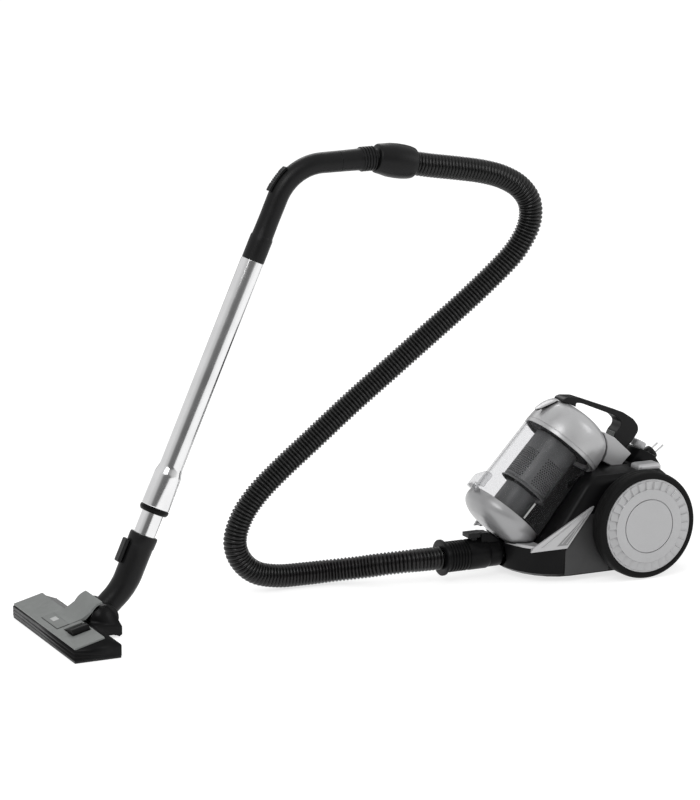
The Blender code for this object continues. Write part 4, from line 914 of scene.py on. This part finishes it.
def lid_and_cover(frame_at):
    foot = CUP_TOP + 0.0003
    dome = curve_through([(0.0, 0.1925), (0.0180, 0.1920), (0.0350, 0.1900), (0.0470, 0.1855),
                          (0.0570, 0.1785), (0.0640, 0.1680), (0.0685, 0.1500), (0.0697, 0.1352)], 5)
    rim = [(0.0690, 0.1350), (0.0690, 0.1341), (0.0700, 0.1339), (0.0700, foot), (0.0670, foot),
           (0.0655, 0.1500), (0.0610, 0.1665), (0.0545, 0.1760), (0.0450, 0.1825), (0.0340, 0.1870),
           (0.0, 0.1895)]
    shift = Matrix.Translation((LID_SET_BACK, 0.0, 0.0))
    piece("lid_dome", lathe(dome + rim, 144), SILVER, "dust_cup", ["cup_lid"], frame_at @ shift)
    bracket = [(0.0400, 0.1890), (0.0400, 0.1915), (0.0600, BRACKET_TOP), (0.1045, BRACKET_TOP),
               (0.1030, 0.1750), (0.1060, 0.1630), (0.0712, 0.1545), (0.0675, 0.1672), (0.0607, 0.1770),
               (0.0508, 0.1838)]
    piece("lid_bracket", slab(bracket, -0.0300, 0.0300), SILVER, "dust_cup", at=frame_at, edge=0.0014)
    outside = curve_through([(0.0, -0.0512), (0.0160, -0.0508), (0.0310, -0.0496), (0.0440, -0.0476),
                             (0.0532, -0.0440), (0.0607, -0.0392), (0.0655, -0.0335), (0.0677, -0.0272),
                             (0.0680, -0.0210), (0.0664, CUP_FOOT - 0.0003)], 5)
    inside = [(0.0640, CUP_FOOT - 0.0003), (0.0655, -0.0210), (0.0630, -0.0325), (0.0515, -0.0415),
              (0.0300, -0.0470), (0.0, -0.0485)]
    piece("flap_shell", lathe(outside + inside, 144), COVER, "dust_flap", ["bottom_cover"], frame_at)
    knuckle = slab([(-0.0813, -0.0205), (-0.0655, -0.0205), (-0.0640, -0.0136), (-0.0813, -0.0136)], -0.0060,
                   0.0060)
    piece("flap_knuckle", knuckle, COVER, "dust_flap", at=frame_at, edge=0.0012)
    dress(CLEAR_THICK, "hinge_bracket")
    dress(STEEL, "hinge_pin")
    tongue_and_handle(frame_at)


def leaf(spine, widths, depths):
    """A leaf-shaped lever: a rounded lens section along a line of (back, up) points."""
    rings = []
    last = len(spine) - 1
    for i, ((x, z), half, deep) in enumerate(zip(spine, widths, depths)):
        after, before = spine[min(i + 1, last)], spine[max(i - 1, 0)]
        ahead = Vector((after[0] - before[0], 0.0, after[1] - before[1])).normalized()
        out = ahead.cross(Vector((0.0, 1.0, 0.0)))
        ring = []
        for k in range(28):
            turn = 2 * pi * k / 28
            lift = deep / 2 * (1.0 if sin(turn) > 0 else -1.0) * abs(sin(turn)) ** 0.7
            ring.append(Vector((x, half * cos(turn), z)) + out * lift)
        rings.append(ring)
    return skin(rings, caps=True)


def tongue_and_handle(frame_at):
    count = 21
    line = ((-0.0545, 0.1812), (-0.0625, 0.1715), (-0.0680, 0.1575), (-0.0735, 0.1462))
    first, second, third, last = (Vector(place) for place in line)
    spine, under, widths, depths = [], [], [], []
    for i in range(count):
        t = i / (count - 1)
        point = bend(first, second, third, t) * (1 - t) + bend(second, third, last, t) * t
        spine.append((point.x, point.y))
        under.append((point.x + 0.0020, point.y - 0.0009))
        widths.append(0.0024 + 0.0076 * sin(pi * (0.22 + 0.76 * t)) ** 0.8)
        depths.append(0.0012 + 0.0036 * sin(pi * (0.12 + 0.84 * t)))
    piece("release_leaf", leaf(spine, widths, depths), SILVER, "cup_release", ["release_tongue"], frame_at)
    # A black copy of the leaf, set just below it: a painted shadow where the silver leaf meets the dome.
    piece("release_leaf_painted_shadow", leaf(under, [half * 1.03 for half in widths], [deep * 0.5 for deep in depths]),
          BLACK, "cup_release", slot="silver_plastic", at=frame_at)
    foot = BRACKET_TOP + 0.0003
    outline = [(-0.0495, 0.1822), (-0.0515, 0.1870), (-0.0480, 0.1935), (-0.0310, 0.2065), (0.0522, 0.2405),
               (0.0760, 0.2445), (0.0910, 0.2420), (0.0980, 0.2355), (0.1005, 0.2177), (0.0990, foot),
               (0.0700, foot), (0.0655, 0.2080), (0.0660, 0.2200), (0.0610, 0.2270), (0.0475, 0.2280),
               (-0.0199, 0.2030), (-0.0290, 0.1970), (-0.0240, 0.1915), (-0.0300, 0.1909), (-0.0420, 0.1864)]
    line = fillet(outline, 0.0040, 4, True)
    grip = piece("carry_handle_grip", slab(line, -0.0150, 0.0150), SATIN, "dust_cup", ["carry_handle"],
                 frame_at)
    round_edges(grip, 0.0030, 4, 50.0)
    for i in range(3):
        share = 0.25 + 0.25 * i
        x, z = -0.0480 + 0.0170 * share, 0.1935 + 0.0130 * share
        bar = block((-0.0008, -0.0105, -0.0008), (0.0008, 0.0105, 0.0007))
        tilt = Matrix.Translation((x, 0.0, z)) @ Matrix.Rotation(-atan2(0.0130, 0.0170), 4, "Y")
        piece("carry_handle_ridge_%d" % (i + 1), bar, SATIN, "dust_cup", at=frame_at @ tilt, edge=0.0004)
    for i in range(6):
        share = (i + 0.5) / 6
        x, z = 0.0700 - 0.0045 * share, foot + (0.2080 - foot) * share
        bar = block((-0.0007, -0.0120, -0.0006), (0.0007, 0.0120, 0.0006))
        piece("carry_handle_rib_%d" % (i + 1), bar, GREY, "dust_cup",
              at=frame_at @ Matrix.Translation((x, 0.0, z)), edge=0.0003)


# ------------------------------------------------------------------ canister
SIDES = ((-1, "left"), (1, "right"))


def canister():
    dress(BLACK, "base_shell", "cup_seat", "rear_deck", "caster_cup", "caster_fork", "inlet_duct",
          "hose_connector", "upper_housing")
    dress(SILVER, "side_trim_left", "side_trim_right")
    dress(STEEL, "axle_left", "axle_right", "motor_housing", "motor_fan")
    dress(CYCLONE, "cord_reel")
    dress(CORD, "cord_winding")
    dress(FOAM, "pre_motor_filter")
    dress(PAPER, "hepa_filter")
    dress(TYRE, "caster_wheel", "nozzle_roller_left", "nozzle_roller_right")
    for side, name in SIDES:
        side_panels(side, name)
        wheel(side, name)
    controls()
    exhaust_grille()


def side_slab(outline, side, inner, outer):
    """A flat outline of (x, z) points on one side of the canister, between two distances from its middle."""
    points = [(x + ROOT.x, z) for x, z in outline]
    low, high = sorted((side * inner + ROOT.y, side * outer + ROOT.y))
    return slab(points, low, high)


def side_panels(side, name):
    # A thin panel on the side face in the lighter black: painted light.
    panel = [(-0.1310, 0.0110), (-0.1300, 0.0520), (-0.0850, 0.1080), (-0.0500, 0.1080), (-0.0500, 0.0110)]
    piece("side_panel_" + name, side_slab(panel, side, 0.0955, 0.0971), PAINTED_LIGHT_PANEL, "canister", edge=0.0007)
    # The trim's facet, a thin sheet in the darker silver: painted shade.
    facet = [(-0.1480, 0.0620), (-0.1285, 0.0620), (-0.0865, 0.1155), (-0.0880, 0.1140)]
    piece("side_trim_shaded_facet_" + name, side_slab(facet, side, 0.0998, 0.1008), FIN_SHADE_SILVER, "canister", edge=0.0003)
    # Raised ridges in the paler silver over the darker facet: real ridges, painted as highlight lines.
    ridges = (((-0.1760, 0.0620), (-0.0885, 0.1175)), ((-0.1400, 0.0650), (-0.0880, 0.1130)),
              ((-0.1310, 0.0640), (-0.0868, 0.1185)))
    for i, ends in enumerate(ridges):
        low, high = (Vector(end) for end in ends)
        along = (high - low).normalized()
        across = Vector((-along.y, along.x)) * 0.0006
        ridge = [low - across, high - across * 0.6, high + across * 0.6, low + across]
        made = piece("side_trim_ridge_%s_%d" % (name, i + 1), side_slab(ridge, side, 0.1000, 0.1015), SILVER,
                     "canister")
        round_edges(made, 0.0003, 2)


HUB_FACE = 0.1400
HUB_EDGE = 0.1372
HUB_STEPS = 30
STEP_FOOT = 0.1376
STEP_RISE = 0.0022
STEP_TOP_AT = 0.90
STEPS_FROM, STEPS_TO = 0.0608, 0.0742
GROOVE_FROM, GROOVE_TO, GROOVE_HEIGHT = 0.0434, 0.0446, 0.1380
HUB_RADII = (0.0, 0.0200, 0.0428, 0.0433, 0.0435, 0.0445, 0.0447, 0.0452, 0.0530, 0.0600, 0.0606, 0.0610,
             0.0625, 0.0680, 0.0730, 0.0740, 0.0746, 0.0768)


def hub_height(radius, turn):
    """The hub cover's relief: a plain disc, a fine groove, a smooth ring and a ring of radial steps."""
    if radius > STEPS_TO:
        return HUB_EDGE
    if radius > STEPS_FROM:
        share = (turn / (2 * pi) * HUB_STEPS) % 1.0
        return STEP_FOOT + STEP_RISE * min(share / STEP_TOP_AT, (1.0 - share) / (1.0 - STEP_TOP_AT))
    if GROOVE_FROM < radius < GROOVE_TO:
        return GROOVE_HEIGHT
    return HUB_FACE


def hub_mesh():
    shares = (0.0, 0.30, 0.60, 0.86, 0.90, 0.95)
    turns = [2 * pi * (step + share) / HUB_STEPS for step in range(HUB_STEPS) for share in shares]
    profile = [(radius, None) for radius in HUB_RADII] + [(HUB_RADIUS, 0.1362), (HUB_RADIUS, 0.1338),
                                                          (0.0, 0.1338)]
    rings = []
    for radius, flat in profile:
        rings.append([Vector((radius * cos(turn), radius * sin(turn), flat or hub_height(radius, turn)))
                      for turn in turns])
    return skin(rings)


def wheel(side, name):
    centre = spot(0.0, 0.0, WHEEL_RADIUS)
    body = "wheel_" + name
    at = sideways(centre, side)
    tyre = [(0.0776, 0.1372), (0.0845, 0.1372), (0.0874, 0.1345), (WHEEL_RADIUS, 0.1300),
            (WHEEL_RADIUS, 0.1262), (0.0880, 0.1258), (0.0880, 0.1248), (WHEEL_RADIUS, 0.1244),
            (WHEEL_RADIUS, 0.1176), (0.0880, 0.1172), (0.0880, 0.1162), (WHEEL_RADIUS, 0.1158),
            (WHEEL_RADIUS, 0.1120), (0.0865, 0.1060), (0.0800, 0.1040), (0.0776, 0.1040)]
    piece("tyre_tread_" + name, turned(tyre, 0.0016, 3, 144), TYRE, body, ["tyre_" + name], at)
    rim = [(HUB_RADIUS, 0.1335), (HUB_RADIUS, 0.1045), (0.0700, 0.1045), (0.0700, 0.1180), (0.0180, 0.1180),
           (0.0180, 0.1045), (0.0065, 0.1045), (0.0065, 0.1335)]
    piece("wheel_dish_" + name, turned(rim, 0.0010, 2), BLACK, body, ["wheel_rim_" + name], at)
    piece("hub_face_" + name, hub_mesh(), HUB, body, ["hub_cover_" + name], at)


def controls():
    lean = Vector((0.49, 0.0, 0.872)).normalized()

    def facets(turn, radius):
        return 0.0005 * abs(cos(10 * turn)) - 0.0003 if radius > 0.0105 else 0.0
    knob = [(0.0, 0.0114), (0.0085, 0.0114), (0.0092, 0.0120), (0.0102, 0.0119), (0.0117, 0.0104),
            (0.0121, 0.0012), (0.0115, 0.0), (0.0, 0.0)]
    piece("suction_dial", lathe(knob, 160, wave=facets), SILVER, "suction_knob", ["suction_knob"],
          towards(KNOB_AT + lean * 0.0010, lean))
    for side, name in ((-1, "power_pedal"), (1, "rewind_pedal")):
        middle = side * 0.066
        low = spot(0.0140, middle - 0.0155, 0.1610)
        high = spot(0.0575, middle + 0.0155, 0.1755)
        made = piece(name + "_cap", block(low, high), SILVER, name, [name])
        round_edges(made, 0.0058, 6)
    direction = Vector((0.0145, 0.0, 0.0100)).normalized()
    at = spot(0.0780, 0.0, 0.16925) + direction * 0.0003
    body = [(0.0, 0.0), (0.0125, 0.0), (0.0125, 0.0080), (0.0112, 0.0120), (0.0, 0.0120)]
    piece("plug_body", lathe(fillet(body, 0.0008, 3), 72), SATIN, "canister", ["mains_plug"],
          towards(at, direction))
    for side, name in SIDES:
        pin = [(0.0, 0.0307), (0.0012, 0.0305), (0.0023, 0.0290), (0.0023, 0.0080), (0.0, 0.0080)]
        piece("plug_pin_" + name, lathe(pin, 32), CHROME, "canister", slot="steel",
              at=towards(at + Vector((0.0, side * 0.0090, 0.0)), direction))


def exhaust_grille():
    low, high = spot(0.1016, -0.0490, 0.0590), spot(0.1050, 0.0490, 0.1120)
    made = piece("exhaust_louvre_door", block(low, high), BLACK, "exhaust_door", ["exhaust_grille"])
    work = bmesh.new()
    for row in range(9):
        for column in range(2):
            middle = spot(0.1033, -0.0220 + 0.0440 * column, 0.0680 + 0.0045 * row)
            add_box(work, middle, (0.0100, 0.0380, 0.0020))
    cut(made, finished(work))
    round_edges(made, 0.0006, 2)


# ------------------------------------------------------------------ floor and light
FLOOR_RADIUS = 60.0
FLOOR_DROP = 0.0008
FLOOR_GLOW = 0.72
SKY_STRENGTH = 0.70
# (place, level) steps of the sky's brightness, from the far side (0) to the camera's own side (1).
SKY_STOPS = ((0.0, 0.08), (0.05, 0.08), (0.08, 1.25), (0.62, 1.25), (0.86, 0.90), (0.94, 0.30), (1.0, 0.24))
LAMPS = (("key", (-1.6, -1.8, 2.6), 1.6, 34.0), ("fill", (2.2, -1.4, 1.6), 1.2, 10.0),
         ("back", (0.6, 2.4, 2.2), 1.6, 18.0))
LAMPS_AIM = Vector((0.1, 0.0, 0.2))


def pale_floor():
    work = bmesh.new()
    bmesh.ops.create_circle(work, cap_ends=True, segments=96, radius=FLOOR_RADIUS,
                            matrix=Matrix.Translation((0.0, 0.0, -FLOOR_DROP)))
    mesh = bpy.data.meshes.new("floor")
    work.to_mesh(mesh)
    work.free()
    pale = Graph("pale_floor")
    pale.colour(pale.tint(pale.noise(3.0), (0.44, 0.44, 0.44), (0.46, 0.46, 0.46)))
    pale.set(Roughness=0.9, Specular_IOR_Level=0.0, Emission_Strength=FLOOR_GLOW,
             Emission_Color=(1.0, 1.0, 1.0, 1.0))
    mesh.materials.append(pale.material)
    floor = add_object("floor", mesh)


def studio_sky():
    """Soft light that changes with direction, so that chrome and gloss have something to show."""
    world = bpy.data.worlds.new("studio")
    bpy.context.scene.world = world
    world.use_nodes = True
    nodes, links = world.node_tree.nodes, world.node_tree.links
    place = nodes.new("ShaderNodeTexCoord")
    facing = nodes.new("ShaderNodeVectorMath")
    facing.operation = "DOT_PRODUCT"
    facing.inputs[1].default_value = (sin(CAMERA_AZIMUTH), -cos(CAMERA_AZIMUTH), 0.0)
    links.new(place.outputs["Generated"], facing.inputs[0])
    shift = nodes.new("ShaderNodeMapRange")
    shift.inputs["From Min"].default_value = -1.0
    links.new(facing.outputs["Value"], shift.inputs["Value"])
    ramp = nodes.new("ShaderNodeValToRGB")
    stops = ramp.color_ramp.elements
    while len(stops) < len(SKY_STOPS):
        stops.new(0.5)
    for stop, (position, level) in zip(stops, SKY_STOPS):
        stop.position = position
        stop.color = (level, level, level, 1.0)
    links.new(shift.outputs["Result"], ramp.inputs["Fac"])
    links.new(ramp.outputs["Color"], nodes["Background"].inputs["Color"])
    nodes["Background"].inputs["Strength"].default_value = SKY_STRENGTH


def lamps():
    for name, at, size, power in LAMPS:
        lamp = bpy.data.lights.new(name, "AREA")
        lamp.energy = power
        lamp.size = size
        holder = add_object(name, lamp)
        holder.location = at
        holder.rotation_euler = (LAMPS_AIM - Vector(at)).to_track_quat("-Z", "Y").to_euler()


make_camera()
hose()
hose_ends()
handle()
wand()
neck()
nozzle()
dust_cup()
canister()
pale_floor()
studio_sky()
lamps()
bpy.context.scene.view_settings.view_transform = "Standard"
